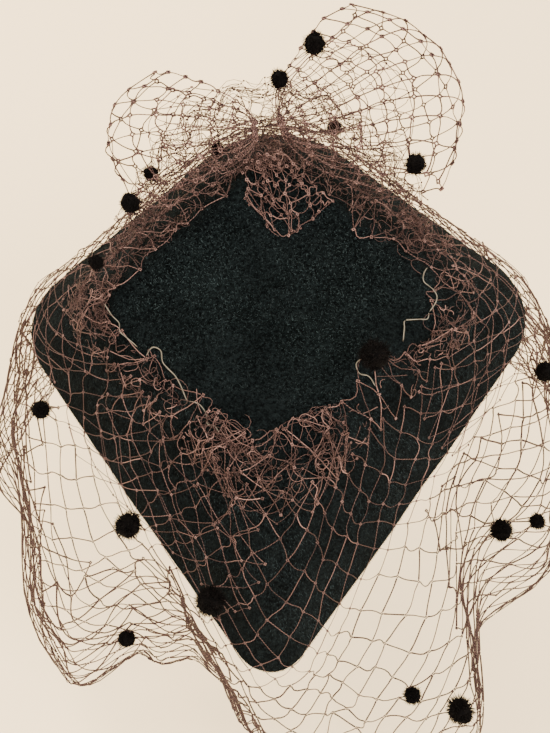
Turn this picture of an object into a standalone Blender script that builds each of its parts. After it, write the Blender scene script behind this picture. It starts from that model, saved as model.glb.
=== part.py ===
"""A diamond pillbox hat in black fur felt, with a gathered net veil, a net bow and chenille dots.

Everything is worked out in the hat's own frame: +Z up through the tip, -Y to the front, +X to the
wearer's left, the side corners of the rim at height 0. An empty tips the whole hat forward, as it
is worn, and the veil falls straight down in the world.
"""

import math
from collections import namedtuple

import bmesh
import bpy
import numpy as np
from mathutils import Matrix, Vector

# Driving dimensions, in metres and degrees.
TIP_FRONT = 0.053       # tip's centre to its front corner, and so on round
TIP_SIDE = 0.058
TIP_BACK = 0.052
TIP_CORNER = 0.017      # rounding of the tip's corners
TIP_DISH = 0.0035       # how far the middle of the tip sinks
RIM_FRONT = 0.130
RIM_SIDE = 0.098
RIM_BACK = 0.085
RIM_SIDE_SETBACK = 0.007
RIM_FRONT_LEAN = 0.006  # the front point has settled this far towards the wearer's right
RIM_FRONT_CORNER = 0.018
RIM_SIDE_CORNER = 0.026
RIM_BACK_CORNER = 0.044
CROWN_HEIGHT = 0.048
FRONT_DIP = 0.015       # the rim's front point below its side corners
FELT = 0.0024
RIM_ROLL = 0.0045       # radius of the turned-under edge
RIM_LIP = 0.0050        # how far the edge runs inwards past the roll
RIDGE_ROLL = 0.0070     # radius between wall and tip
WALL_BELLY = 0.0020     # how far the wall swells between rim and ridge
WORN_TILT = 20.0        # how far the hat tips forward on the head

NET = 0.0012            # thickness of the net's solid
SEAT_GAP = 0.0003       # between pieces that touch
VEIL_LIFT = 0.0038      # between the felt and the net lying on it
VEIL_BUTT = 0.0006      # between the heading and the edge of the net that leaves it
HEADING_SEAT = 0.955    # where the gathered heading's middle lies, between the rim (0) and the tip (1)
HEADING_WIDTH = 0.0125
HEADING_HEIGHT = 0.0042
HEADING_LIFT = 0.0010   # between the wall's line and the heading lying on it
HEADING_PLEATS = 22
BOW_SWELL = 1.2         # how much the heading swells where the bow is gathered into it
BOW_SWELL_WIDTH = 0.045
HEM_WIDE = 0.156        # from the middle to the veil's free edge at its widest
HEM_LONG = 0.166        # from the middle to that edge in front
HEM_DROP = 0.145        # that edge below the rim's side corners, where it hangs lowest
VEIL_BILLOW = 0.006
RIM_HOLD = 0.22         # share of the fall that still leans as the wall does
HEM_HOLD = 0.25         # share of the fall that hangs straight
LOOP_LENGTH = 0.0605
LOOP_HALF_WIDTH = 0.0410
LOOP_HALF_DEPTH = 0.0160
LOOP_SPREAD = 0.0035    # half width of a bow loop where it is gathered
LOOP_ROUNDING = 0.34    # how much shorter a loop is at its edges
LOOP_ASIDE = 0.0050     # where the loops leave the gather, from the tip's back corner
LOOP_BEHIND = 0.0055
LOOP_ABOVE = 0.0097
DOT_ACROSS = 0.0100
TAB_LENGTH = 0.025
TAB_HALF_WIDTH = 0.016
TAB_ASIDE = 0.006       # how far it drifts to the wearer's left
TAB_LIFT = 0.0010       # between the tip and the middle of the tab lying on it
TAB_RUMPLE = 0.0012
TAB_RISE = 0.0050       # from the tip to the gather

# Counts.
ARC_STEPS = 3
SIDE_STEPS = 5
VEIL_COLUMNS = 18
VEIL_ROWS = 5
VEIL_ROW_POWER = 0.85   # rows draw closer towards the hem
GAP_SHARE = 0.73        # of a net cell, across, that is open
CELL_STEPS = 2          # pieces in each side of a cell
PULL_LIMIT = 0.42       # how far a dot may pull a knot, in cells

# Where the veil's free edge hangs, in the world. Around is the share of the way round the hat: 0
# is the front, 0.25 the wearer's left, 0.5 the back. Wide, ahead and drop are shares of the hem's
# three sizes, and billow pushes the fall outwards half-way down.
Hem = namedtuple("Hem", "around wide ahead drop billow")
HEMS = (
    Hem(0.000, 0.026, 0.994, 1.000, 0.000),
    Hem(0.065, 0.288, 1.000, 0.966, 0.000),
    Hem(0.115, 0.513, 0.843, 0.862, 0.667),
    Hem(0.150, 0.577, 0.596, 0.828, -0.667),
    Hem(0.195, 0.846, 0.404, 0.828, 0.667),
    Hem(0.260, 1.000, 0.024, 0.814, -0.667),
    Hem(0.360, 0.769, -0.422, 0.745, -0.667),
    Hem(0.500, 0.000, -0.813, 0.621, 0.000),
    Hem(0.640, -0.737, -0.410, 0.745, -1.000),
    Hem(0.740, -0.974, 0.024, 0.814, -1.000),
    Hem(0.800, -0.833, 0.343, 0.828, 0.667),
    Hem(0.860, -0.660, 0.669, 0.897, 1.000),
    Hem(0.910, -0.372, 0.602, 0.897, -0.667),
    Hem(0.960, -0.115, 0.783, 0.966, 0.000),
)

# The bow's loops. Aside, length, wide and deep are shares of the loops' sizes; turn is the way one
# points, from the wearer's left round to the back, rise its angle above the tip and roll its turn
# about its own length.
Loop = namedtuple("Loop", "name aside length wide deep turn rise roll columns rows")
LOOPS = (
    Loop("bow_loop_left", 1.0, 1.0, 1.0, 1.0, 17.0, 0.5, -10.0, 3, 7),
    Loop("bow_loop_right", -1.0, 0.83, 0.59, 0.70, 185.0, 4.5, 5.0, 3, 5),
)

# Chenille dots: the piece that each sits on, its place there as two shares of that piece's surface
# (round and down the veil, round the heading and round its roll, aside and ahead on the tip, across
# and along a loop), and its size as a share of the usual one.
Dot = namedtuple("Dot", "on first second across")
DOTS = (
    Dot("veil", 0.8030, 0.295, 0.90),
    Dot("veil", 0.8883, 0.280, 1.20),
    Dot("veil", 0.9648, 0.275, 1.26),
    Dot("veil", 0.8892, 0.740, 0.92),
    Dot("veil", 0.2176, 0.347, 0.97),
    Dot("veil", 0.1647, 0.605, 1.12),
    Dot("veil", 0.1809, 0.637, 0.84),
    Dot("veil", 0.1048, 0.717, 1.28),
    Dot("veil", 0.0852, 0.634, 0.84),
    Dot("veil", 0.0300, 0.860, 1.00),
    Dot("veil", 0.2500, 0.857, 1.00),
    Dot("veil", 0.4167, 0.857, 1.00),
    Dot("veil", 0.4550, 0.720, 1.00),
    Dot("veil", 0.5050, 0.560, 1.00),
    Dot("veil", 0.5750, 0.820, 1.00),
    Dot("veil", 0.6300, 0.860, 1.00),
    Dot("veil", 0.7700, 0.620, 1.00),
    Dot("veil", 0.4560, 0.185, 0.78),
    Dot("felt_body", 0.5495, 0.391, 1.18),
    Dot("veil_heading", 0.7159, 0.3333, 0.62),
    Dot("veil_heading", 0.5568, 0.0833, 0.60),
    Dot("bow_loop_left", 0.840, 0.209, 0.86),
    Dot("bow_loop_left", 0.930, 0.112, 0.74),
    Dot("bow_loop_left", 0.016, 0.338, 0.78),
    Dot("bow_loop_right", 0.900, 0.510, 0.80),
    Dot("bow_loop_right", 0.613, 0.672, 0.65),
)
DOT_LUMPS = 0.07        # share of a dot's radius

Row = namedtuple("Row", "to_tip inset up lift")


def clear_scene():
    """Removes whatever the startup scene holds."""
    for item in list(bpy.data.objects):
        bpy.data.objects.remove(item)


def cloth(name, colour, roughness):
    """A plain cloth material."""
    made = bpy.data.materials.new(name)
    made.use_nodes = True
    shader = made.node_tree.nodes["Principled BSDF"]
    shader.inputs["Base Color"].default_value = (*colour, 1.0)
    shader.inputs["Roughness"].default_value = roughness
    shader.inputs["Metallic"].default_value = 0.0
    return made


def add_mesh(name, points, faces, material, parent):
    """An object from points and faces, shaded smooth."""
    mesh = bpy.data.meshes.new(name)
    mesh.from_pydata([tuple(p) for p in points], [], [tuple(f) for f in faces])
    mesh.materials.append(material)
    mesh.shade_smooth()
    made = bpy.data.objects.new(name, mesh)
    bpy.context.scene.collection.objects.link(made)
    made.parent = parent
    return made


def smooth_step(x):
    """A soft step from 0 to 1."""
    x = np.clip(x, 0.0, 1.0)
    return x * x * (3 - 2 * x)


def unit(vectors):
    """Vectors scaled to length 1."""
    return vectors / np.linalg.norm(vectors, axis=-1, keepdims=True)


def corners_of(to_tip):
    """The diamond's corner points and roundings, between the rim's (0) and the tip's (1)."""
    rim = np.array([
        (-RIM_FRONT_LEAN, -RIM_FRONT), (RIM_SIDE, RIM_SIDE_SETBACK),
        (0.0, RIM_BACK), (-RIM_SIDE, RIM_SIDE_SETBACK),
    ])
    tip = np.array([(0.0, -TIP_FRONT), (TIP_SIDE, 0.0), (0.0, TIP_BACK), (-TIP_SIDE, 0.0)])
    rim_round = np.array([RIM_FRONT_CORNER, RIM_SIDE_CORNER, RIM_BACK_CORNER, RIM_SIDE_CORNER])
    points = rim + (tip - rim) * to_tip
    rounding = rim_round + (TIP_CORNER - rim_round) * to_tip
    return points, rounding


def outline(to_tip, inset=0.0, arc_steps=ARC_STEPS, side_steps=SIDE_STEPS):
    """A rounded diamond's points, from the front corner round by the wearer's left.

    Each side is the common tangent of two corner arcs. An inset moves it all inwards.
    """
    reach, rounding = corners_of(to_tip)
    ahead = np.roll(reach, -1, axis=0) - reach
    normal = np.unwrap(np.arctan2(ahead[:, 1], ahead[:, 0])) - math.pi / 2
    before = np.roll(normal, 1)
    before[0] -= 2 * math.pi
    middle = (normal + before) / 2
    centre = reach - np.column_stack([np.cos(middle), np.sin(middle)]) * rounding[:, None]
    points = []
    for i in range(4):
        j = (i + 1) % 4
        gap = centre[j] - centre[i]
        lean = math.asin((rounding[j] - rounding[i]) / np.hypot(*gap))
        facing = math.atan2(gap[1], gap[0]) - math.pi / 2 - lean
        facing = middle[i] + (facing - middle[i]) % (2 * math.pi)
        last = middle[j] + (2 * math.pi if j == 0 else 0)
        first_arc = np.linspace(middle[i], facing, arc_steps, endpoint=False)
        last_arc = np.linspace(facing, last, arc_steps, endpoint=False)
        way = np.array([math.cos(facing), math.sin(facing)])
        start = centre[i] + (rounding[i] - inset) * way
        end = centre[j] + (rounding[j] - inset) * way
        along = np.linspace(0, 1, side_steps, endpoint=False)[:, None]
        points.append(centre[i] + (rounding[i] - inset) * np.column_stack([np.cos(first_arc), np.sin(first_arc)]))
        points.append(start + (end - start) * along)
        points.append(centre[j] + (rounding[j] - inset) * np.column_stack([np.cos(last_arc), np.sin(last_arc)]))
    return np.vstack(points)


def ring(row, **steps):
    """One loop of points of the felt, at a row of its profile."""
    flat = outline(row.to_tip, row.inset, **steps)
    rim = outline(0.0, 0.0, **steps)
    low = -FRONT_DIP * np.clip(-rim[:, 1] / RIM_FRONT, 0, 1) ** 2
    height = low + (CROWN_HEIGHT - low) * row.up + row.lift
    return np.column_stack([flat, height])


def felt_profile():
    """The felt's outer profile, from the lip inside the rim to the crest of the ridge."""
    rows = [Row(0.0, RIM_ROLL + RIM_LIP, 0.0, 0.0)]
    for degrees in (-90, -45, 0, 40):
        angle = math.radians(degrees)
        rows.append(Row(0.0, RIM_ROLL * (1 - math.cos(angle)), 0.0, RIM_ROLL * (1 + math.sin(angle))))
    ridge = []
    for degrees in (48, 68, 90):
        angle = math.radians(degrees)
        ridge.append(Row(1.0, RIDGE_ROLL * (1 - math.cos(angle)), 1.0, -RIDGE_ROLL * (1 - math.sin(angle))))
    wall = []
    for share in (0.25, 0.5, 0.75):
        at = [a + (b - a) * share for a, b in zip(rows[-1], ridge[0])]
        swell = WALL_BELLY * 4 * share * (1 - share)
        wall.append(Row(at[0], at[1] - swell, at[2], at[3]))
    return rows + wall + ridge


def felt_body(material, parent):
    """The blocked felt: one shell, open below, with a dished tip and a turned-under edge."""
    rings = [ring(row) for row in felt_profile()]
    crest = rings[-1]
    for share in (0.82, 0.58, 0.30):
        inner = crest * (share, share, 1.0)
        inner[:, 2] = CROWN_HEIGHT - TIP_DISH * (1 - share ** 2)
        rings.append(inner)
    count = len(crest)
    points = np.vstack(rings + [[(0.0, 0.0, CROWN_HEIGHT - TIP_DISH)]])
    faces = []
    for level in range(len(rings) - 1):
        for i in range(count):
            j = (i + 1) % count
            low, high = level * count, (level + 1) * count
            faces.append((low + i, low + j, high + j, high + i))
    top, middle = (len(rings) - 1) * count, len(points) - 1
    faces += [(top + i, top + (i + 1) % count, middle) for i in range(count)]
    made = add_mesh("felt_body", points, faces, material, parent)
    wall = made.modifiers.new("felt", "SOLIDIFY")
    wall.thickness = FELT
    wall.offset = -1.0
    wall.use_even_offset = True
    return made


def read_round(values, around):
    """Values given at an outline's points, read off at shares of the way round.

    In each quarter the shares run evenly along the rim.
    """
    around = np.asarray(around) % 1.0
    closed = np.vstack([values, values[:1]])
    return np.stack([np.interp(around, FINE_SHARES, column) for column in closed.T], axis=-1)


def shares_round(points):
    """The shares of the way round at which an outline's points lie, a quarter to each corner."""
    closed = np.vstack([points, points[:1]])
    run = np.append(0.0, np.cumsum(np.linalg.norm(np.diff(closed, axis=0), axis=1)))
    quarter = len(points) // 4
    parts = []
    for k in range(4):
        piece = run[k * quarter:(k + 1) * quarter + 1]
        parts.append((k + (piece[:-1] - piece[0]) / (piece[-1] - piece[0])) / 4)
    return np.append(np.concatenate(parts), 1.0)


def hem_of(around):
    """The hem's place in the world and its billow, at shares of the way round.

    They are blended softly between the table's rows.
    """
    rows = np.array(HEMS) * (1.0, HEM_WIDE, -HEM_LONG, -HEM_DROP, VEIL_BILLOW)
    values = np.vstack([rows[-2:], rows, rows[:2]])
    values[:2, 0] -= 1
    values[-2:, 0] += 1
    around = np.asarray(around, float) % 1.0
    k = np.clip(np.searchsorted(values[:, 0], around, side="right") - 1, 1, len(values) - 3)
    before, start, end, after = (values[k + n] for n in (-1, 0, 1, 2))
    span = (end[..., 0] - start[..., 0])[..., None]
    first = (end - before)[..., 1:] / (end - before)[..., :1] * span
    last = (after - start)[..., 1:] / (after - start)[..., :1] * span
    t = (around[..., None] - start[..., :1]) / span
    curve = (2 * t ** 3 - 3 * t ** 2 + 1) * start[..., 1:] + (t ** 3 - 2 * t ** 2 + t) * first
    return curve + (3 * t ** 2 - 2 * t ** 3) * end[..., 1:] + (t ** 3 - t ** 2) * last


FINE = dict(arc_steps=8, side_steps=16)
FINE_SHARES = shares_round(outline(0.35, **FINE))
WALL_FOOT = ring(Row(0.0, -VEIL_LIFT, 0.0, RIM_ROLL), **FINE)
WALL_LINE = ring(Row(HEADING_SEAT, 0.0, HEADING_SEAT, 0.0), **FINE)
TILT = math.radians(WORN_TILT)
TO_WORLD = np.array([
    (1, 0, 0), (0, math.cos(TILT), -math.sin(TILT)), (0, math.sin(TILT), math.cos(TILT)),
])


def wall_at(around):
    """The heading's seat on the wall, the way down the wall and the way off it."""
    seat = read_round(WALL_LINE, around)
    along = unit(read_round(WALL_FOOT, around) - seat)
    return seat, along, unit(np.array([0.0, 0.0, 1.0]) - along * along[..., 2:3])


def heading_surface(around, turn):
    """The gathered heading's surface, for arrays of shares round the hat and round the roll.

    The roll lies on the head of the wall, pleated, wandering in width, and swells at the back,
    where the bow is gathered into it.
    """
    around, turn = np.broadcast_arrays(np.asarray(around, float), np.asarray(turn, float))
    seat, along, upward = wall_at(around)
    pleat = np.abs(np.sin(math.pi * HEADING_PLEATS * around))
    wander = np.sin(2 * math.pi * 7 * around) * 0.4 + np.sin(2 * math.pi * 13 * around + 1.3) * 0.3
    from_bow = np.linalg.norm(seat - read_round(WALL_LINE, 0.5), axis=-1)
    swell = smooth_step(1 - from_bow / BOW_SWELL_WIDTH * 2) * BOW_SWELL
    half_high = HEADING_HEIGHT / 2 * (0.75 + 0.5 * pleat + swell)
    half_wide = HEADING_WIDTH / 2 * (0.85 + 0.22 * wander)
    aside = half_wide * np.cos(2 * math.pi * turn)
    lift = half_high * (1 + np.sin(2 * math.pi * turn)) + HEADING_LIFT
    return seat + along * aside[..., None] + upward * lift[..., None]


def veil_surface(around, down):
    """The veil's middle surface, for arrays of shares round the hat and down the veil.

    The strip lies over the wall as far as the rim, then curves from the wall's slope to hang
    towards its hem.
    """
    around, down = np.broadcast_arrays(np.asarray(around, float), np.asarray(down, float))
    hem, billow = np.split(hem_of(around), [3], axis=-1)
    hem = hem @ TO_WORLD
    foot = read_round(WALL_FOOT, around)
    head = heading_surface(around, 0.0) + wall_at(around)[1] * VEIL_BUTT
    wall = np.linalg.norm(foot - head, axis=-1, keepdims=True)
    drop = np.linalg.norm(hem - foot, axis=-1, keepdims=True)
    along = (foot - head) / wall
    upward = unit(np.array([0.0, 0.0, 1.0]) - along * along[..., 2:3])
    outward = unit((hem - foot) - ((hem - foot) @ TO_WORLD[2])[..., None] * TO_WORLD[2])
    length = (wall + drop) * down[..., None]
    share = np.clip(length / wall, 0, 1)
    t = np.clip((length - wall) / drop, 0, 1)
    on_wall = head + (foot - head) * share + upward * (WALL_BELLY * 4 * share * (1 - share))
    first, last = foot + along * drop * RIM_HOLD, hem + TO_WORLD[2] * drop * HEM_HOLD
    curve = (1 - t) ** 3 * foot + 3 * t * (1 - t) ** 2 * first + 3 * t ** 2 * (1 - t) * last + t ** 3 * hem
    hanging = curve + outward * billow * np.sin(math.pi * t)
    return np.where(length < wall, on_wall, hanging)


def lattice(surface, columns, rows, closed, pulls=(), row_power=1.0):
    """A net's cells as rings of faces round open gaps, on a surface of two shares.

    Cells are diamonds in staggered rows, and the half cells along the heading are left solid.
    Pulls moves the nearest knots to given shares.
    """
    wide, high = 2 * columns, rows + 1
    place = {}
    for j in range(high + 1):
        for i in range(wide + 1):
            place[i, j] = np.array([i / wide, (j / high) ** row_power])
    knots = [key for key in place if sum(key) % 2 == 0 and 0 < key[1]]
    for pull in pulls:
        off = {k: np.abs(place[k] - pull) * (columns, high / 2) for k in knots}
        near = min(knots, key=lambda k: sum(off[k]))
        if max(off[near]) > PULL_LIMIT:
            continue
        knots.remove(near)
        place[near] = np.array(pull, float)
        if closed and near[0] == 0:
            place[wide, near[1]] = place[near] + (1, 0)
    shares, faces, known = [], [], {}

    def point(where):
        key = (round(float(where[0]) % 1.0 if closed else float(where[0]), 6), round(float(where[1]), 6))
        if key not in known:
            known[key] = len(shares)
            shares.append(key)
        return known[key]

    for j in range(1, high):
        for i in range(0 if closed else 1, wide):
            if (i + j) % 2 == 0:
                continue
            left = place[i - 1, j] if i else place[wide - 1, j] - (1, 0)
            corners = [place[i, j - 1], left, place[i, j + 1], place[i + 1, j]]
            centre = sum(corners) / 4
            outer = []
            for a, b in zip(corners, corners[1:] + corners[:1]):
                outer += [a + (b - a) * k / CELL_STEPS for k in range(CELL_STEPS)]
            inner = [centre + (p - centre) * GAP_SHARE for p in outer]
            for k in range(len(outer)):
                n = (k + 1) % len(outer)
                faces.append((point(outer[k]), point(outer[n]), point(inner[n]), point(inner[k])))
    for i in range(1, wide, 2):
        left, tip, right = place[i - 1, 0], place[i, 1], place[i + 1, 0]
        steps = np.arange(CELL_STEPS + 1)[:, None] / CELL_STEPS
        edge = left + (right - left) * np.arange(2 * CELL_STEPS + 1)[:, None] / (2 * CELL_STEPS)
        point_down = np.vstack([left + (tip - left) * steps, tip + (right - tip) * steps[1:]])
        for k in range(2 * CELL_STEPS):
            corners = [point(edge[k]), point(point_down[k]), point(point_down[k + 1]), point(edge[k + 1])]
            faces.append(list(dict.fromkeys(corners)))
    shares = np.array(shares)
    return surface(shares[:, 0], shares[:, 1]), faces


def net_piece(name, surface, columns, rows, closed, material, parent, pulls=(), row_power=1.0):
    """A coarse net of one thickness, cut through in diamond gaps."""
    points, faces = lattice(surface, columns, rows, closed, pulls, row_power)
    made = add_mesh(name, points, faces, material, parent)
    wall = made.modifiers.new("net", "SOLIDIFY")
    wall.thickness = NET
    wall.offset = 0.0
    return made


def veil_heading(material, parent):
    """The heading as a closed roll round the hat."""
    count, sides = 88, 6
    around, turn = np.meshgrid(np.arange(count) / count, np.arange(sides) / sides, indexing="ij")
    points = heading_surface(around, turn).reshape(-1, 3)
    faces = []
    for i in range(count):
        j = (i + 1) % count
        for k in range(sides):
            n = (k + 1) % sides
            faces.append((i * sides + k, j * sides + k, j * sides + n, i * sides + n))
    return add_mesh("veil_heading", points, faces, material, parent)


def loop_surface(loop):
    """A bow loop's middle surface, as a function of the shares across and along its strip.

    The strip runs out from the gather, round the fold and back, wide at the fold and drawn in at
    both ends; its edges lean together, so that the loop is lens-shaped.
    """
    length = LOOP_LENGTH * loop.length
    half_wide = LOOP_HALF_WIDTH * loop.wide
    half_deep = LOOP_HALF_DEPTH * loop.deep
    turn, rise, roll = (math.radians(a) for a in (loop.turn, loop.rise, loop.roll))
    out = Vector((math.cos(turn) * math.cos(rise), math.sin(turn) * math.cos(rise), math.sin(rise)))
    across = Matrix.Rotation(roll, 3, out) @ Vector((0, 0, 1)).cross(out).normalized()
    deep = out.cross(across)
    out, across, deep = (np.array(v) for v in (out, across, deep))
    start = np.array([LOOP_ASIDE * loop.aside, TIP_BACK + LOOP_BEHIND, CROWN_HEIGHT + LOOP_ABOVE])

    def surface(side, along):
        side, along = np.broadcast_arrays(np.asarray(side, float) * 2 - 1, np.asarray(along, float))
        reach = np.sin(math.pi * along) ** 2
        away = length * reach * (1 - LOOP_ROUNDING * np.abs(side) ** 2.2)
        width = (LOOP_SPREAD + (half_wide - LOOP_SPREAD) * reach ** 0.55) * side
        depth = half_deep * np.sin(2 * math.pi * along) * np.sin(math.pi * along) * (1 - 0.6 * side ** 2)
        depth = depth + 1.1 * NET * np.cos(math.pi * along)
        return start + away[..., None] * out + width[..., None] * across + depth[..., None] * deep

    return surface


def tab_surface(side, along):
    """The tab's middle surface, for arrays of shares across and along its short strip.

    It leaves the gather over the ridge and settles on the tip.
    """
    side, along = np.broadcast_arrays(np.asarray(side, float) * 2 - 1, np.asarray(along, float))
    width = LOOP_SPREAD + (TAB_HALF_WIDTH - LOOP_SPREAD) * along ** 0.6
    x = TAB_ASIDE * along + width * side
    y = TIP_BACK - RIDGE_ROLL * 0.3 - TAB_LENGTH * along * (1 - 0.18 * side ** 2)
    rumple = TAB_RUMPLE * (1 + np.sin(math.pi * 3 * side)) * along
    to_ridge = np.abs(x) / (TIP_SIDE - RIDGE_ROLL) + y / (TIP_BACK - RIDGE_ROLL)
    dish = TIP_DISH * (1 - np.minimum(to_ridge, 1) ** 2)
    z = CROWN_HEIGHT - dish + TAB_LIFT + TAB_RISE * (1 - along) ** 2 + rumple
    return np.stack([x, y, z], axis=-1)


def tip_surface(aside, ahead):
    """The dished tip's top, for shares of its reach aside and ahead."""
    x, y = TIP_SIDE * np.asarray(aside, float), -TIP_FRONT * np.asarray(ahead, float)
    to_ridge = np.abs(x) / (TIP_SIDE - RIDGE_ROLL) + np.abs(y) / (TIP_FRONT - RIDGE_ROLL)
    z = CROWN_HEIGHT - TIP_DISH * (1 - np.minimum(to_ridge, 1) ** 2)
    return np.stack([x, y, z], axis=-1)


def chenille_dot(name, dot, surface, inside, material, parent):
    """A lumpy chenille ball, seated on the outer face of the piece that carries it."""
    step = 0.01
    first = min(max(dot.first, step), 1 - step) if dot.on.startswith("bow") else dot.first
    second = min(max(dot.second, step), 1 - step)
    at = surface(dot.first, dot.second)
    across = surface(first + step, second) - surface(first - step, second)
    down = surface(first, second + step) - surface(first, second - step)
    outward = unit(np.cross(across, down))
    if outward @ (at - inside) < 0:
        outward = -outward
    radius = DOT_ACROSS * dot.across / 2
    stand = radius + SEAT_GAP
    if dot.on != "felt_body":
        stand += radius * DOT_LUMPS
    if dot.on not in ("felt_body", "veil_heading"):
        stand += NET / 2
    made = bmesh.new()
    bmesh.ops.create_icosphere(made, subdivisions=2, radius=radius)
    for corner in made.verts:
        x, y, z = corner.co * (math.pi * 3 / radius / 2)
        corner.co *= 1 + DOT_LUMPS * math.sin(x + 1) * math.sin(y + 2) * math.sin(z + 3)
    mesh = bpy.data.meshes.new(name)
    made.to_mesh(mesh)
    made.free()
    mesh.materials.append(material)
    mesh.shade_smooth()
    ball = bpy.data.objects.new(name, mesh)
    bpy.context.scene.collection.objects.link(ball)
    ball.parent = parent
    ball.location = Vector(at + outward * stand)
    return ball


def main():
    """Builds every piece."""
    clear_scene()
    felt = cloth("black_fur_felt", (0.010, 0.013, 0.014), 0.92)
    net = cloth("brown_net", (0.085, 0.040, 0.036), 0.70)
    chenille = cloth("black_chenille", (0.008, 0.007, 0.007), 0.95)
    worn = bpy.data.objects.new("worn", None)
    worn.rotation_euler = (TILT, 0.0, 0.0)
    bpy.context.scene.collection.objects.link(worn)

    felt_body(felt, worn)
    veil_heading(net, worn)
    surfaces = {"felt_body": tip_surface, "veil": veil_surface, "veil_heading": heading_surface}
    for loop in LOOPS:
        surfaces[loop.name] = loop_surface(loop)
    pulls = {name: [dot[1:3] for dot in DOTS if dot.on == name] for name in surfaces}
    net_piece("veil", veil_surface, VEIL_COLUMNS, VEIL_ROWS, True, net, worn, pulls["veil"], VEIL_ROW_POWER)
    for loop in LOOPS:
        surface = surfaces[loop.name]
        net_piece(loop.name, surface, loop.columns, loop.rows, False, net, worn, pulls[loop.name])
    net_piece("bow_tab", tab_surface, 2, 2, False, net, worn)

    for number, dot in enumerate(DOTS, 1):
        surface = surfaces[dot.on]
        if dot.on in ("veil", "felt_body"):
            inside = np.array([0.0, 0.0, -0.05])
        elif dot.on == "veil_heading":
            inside = (surface(dot.first, 0.25) + surface(dot.first, 0.75)) / 2
        else:
            inside = (surface(0.5, 0.5) + surface(0.5, 0.0)) / 2
        chenille_dot(f"dot_{number:02d}", dot, surface, inside, chenille, worn)


main()
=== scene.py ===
"""Dresses a diamond pillbox hat: brushed black felt, a knotted net veil and bow, chenille dots.

Everything is worked out in the hat's own frame (+Z through the tip, -Y to the front, +X to the
wearer's left) and turned into the row frame at the end, as the hat is worn, tipped forward.
"""

import logging
import math
from dataclasses import dataclass, field, replace
from enum import Enum
from typing import Callable, Mapping, Sequence

import bpy
import numpy as np
from mathutils import Matrix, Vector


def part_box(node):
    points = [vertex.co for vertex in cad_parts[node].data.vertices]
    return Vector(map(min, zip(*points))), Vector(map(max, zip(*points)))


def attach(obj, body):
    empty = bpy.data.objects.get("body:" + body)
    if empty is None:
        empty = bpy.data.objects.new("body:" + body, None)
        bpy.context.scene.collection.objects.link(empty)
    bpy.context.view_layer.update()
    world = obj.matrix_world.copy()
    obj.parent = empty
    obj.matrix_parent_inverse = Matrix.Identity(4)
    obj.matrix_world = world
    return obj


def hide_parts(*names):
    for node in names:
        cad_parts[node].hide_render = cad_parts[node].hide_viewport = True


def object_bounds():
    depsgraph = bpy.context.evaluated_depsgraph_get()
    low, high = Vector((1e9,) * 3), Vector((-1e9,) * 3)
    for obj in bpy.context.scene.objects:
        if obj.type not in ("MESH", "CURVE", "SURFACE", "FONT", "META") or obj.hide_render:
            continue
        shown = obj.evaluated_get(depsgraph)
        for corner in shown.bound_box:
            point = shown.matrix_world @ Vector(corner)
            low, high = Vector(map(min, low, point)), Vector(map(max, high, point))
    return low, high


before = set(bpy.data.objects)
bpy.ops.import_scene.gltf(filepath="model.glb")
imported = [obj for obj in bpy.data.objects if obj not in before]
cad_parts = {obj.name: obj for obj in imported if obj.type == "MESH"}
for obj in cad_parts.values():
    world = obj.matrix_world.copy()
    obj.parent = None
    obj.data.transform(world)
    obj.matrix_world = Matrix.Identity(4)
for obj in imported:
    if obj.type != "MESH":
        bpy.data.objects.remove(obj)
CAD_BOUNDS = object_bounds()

log = logging.getLogger("hat")
Array = np.ndarray
Surface = Callable[[Array, Array], Array]
TURN = 2 * math.pi
SLOPE_STEP = 0.004  # how far to each side a surface's slope is read, in shares


# Small helpers on arrays of points.

def unit(vectors: Array) -> Array:
    """Vectors scaled to length 1; those of no length stay as they are."""
    length = np.linalg.norm(vectors, axis=-1, keepdims=True)
    return vectors / np.where(length < 1e-12, 1.0, length)


def smooth_step(x: Array) -> Array:
    """A soft step: 3x^2 - 2x^3 on x held between 0 and 1."""
    x = np.clip(x, 0.0, 1.0)
    return x * x * (3 - 2 * x)


def bell(x: Array) -> Array:
    """A bell curve: 1 at 0, and the inverse of e at 1 and -1."""
    return np.exp(-x ** 2)


def matched(first: Array, second: Array) -> tuple[Array, Array]:
    """Two arrays of numbers, stretched to one shape."""
    return np.broadcast_arrays(np.asarray(first, float), np.asarray(second, float))


def signed(around: Array) -> Array:
    """Shares of the way round from the front, from -0.5 to 0.5."""
    return (np.asarray(around, float) + 0.5) % 1.0 - 0.5


def compass(angles: Array) -> Array:
    """Flat unit vectors at angles from the x axis."""
    return np.column_stack([np.cos(angles), np.sin(angles)])


def waves(points: Array, size: float, seed: int) -> Array:
    """Smooth uneven noise at points, roughly between -1 and 1.

    It is the mean of eight sines, each along its own random direction, with lengths near size.

    Args:
        points: Points, with 3 columns last.
        size: The usual length of a lump, in metres.
        seed: What the directions are drawn from.

    Returns:
        One value for each point.
    """
    rng = np.random.default_rng(seed)
    ways = unit(rng.normal(size=(8, 3))) * rng.uniform(0.7, 1.5, (8, 1)) * math.pi / size
    return np.sin(points @ ways.T + rng.uniform(0, TURN, 8)).mean(axis=-1) * 2.0


def surface_normals(surface: Surface, first: Array, second: Array) -> Array:
    """Unit normals of a surface of two shares, from its slopes along each of them.

    Args:
        surface: The surface.
        first: Shares one way.
        second: Shares the other way.

    Returns:
        The cross product of the slope along first and the slope along second, at length 1.
    """
    low, high = np.clip(second - SLOPE_STEP, 0.0, 1.0), np.clip(second + SLOPE_STEP, 0.0, 1.0)
    along = surface(first + SLOPE_STEP, second) - surface(first - SLOPE_STEP, second)
    down = surface(first, high) - surface(first, low)
    return unit(np.cross(along, down))


# The hat's form, which every piece follows.

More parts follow.
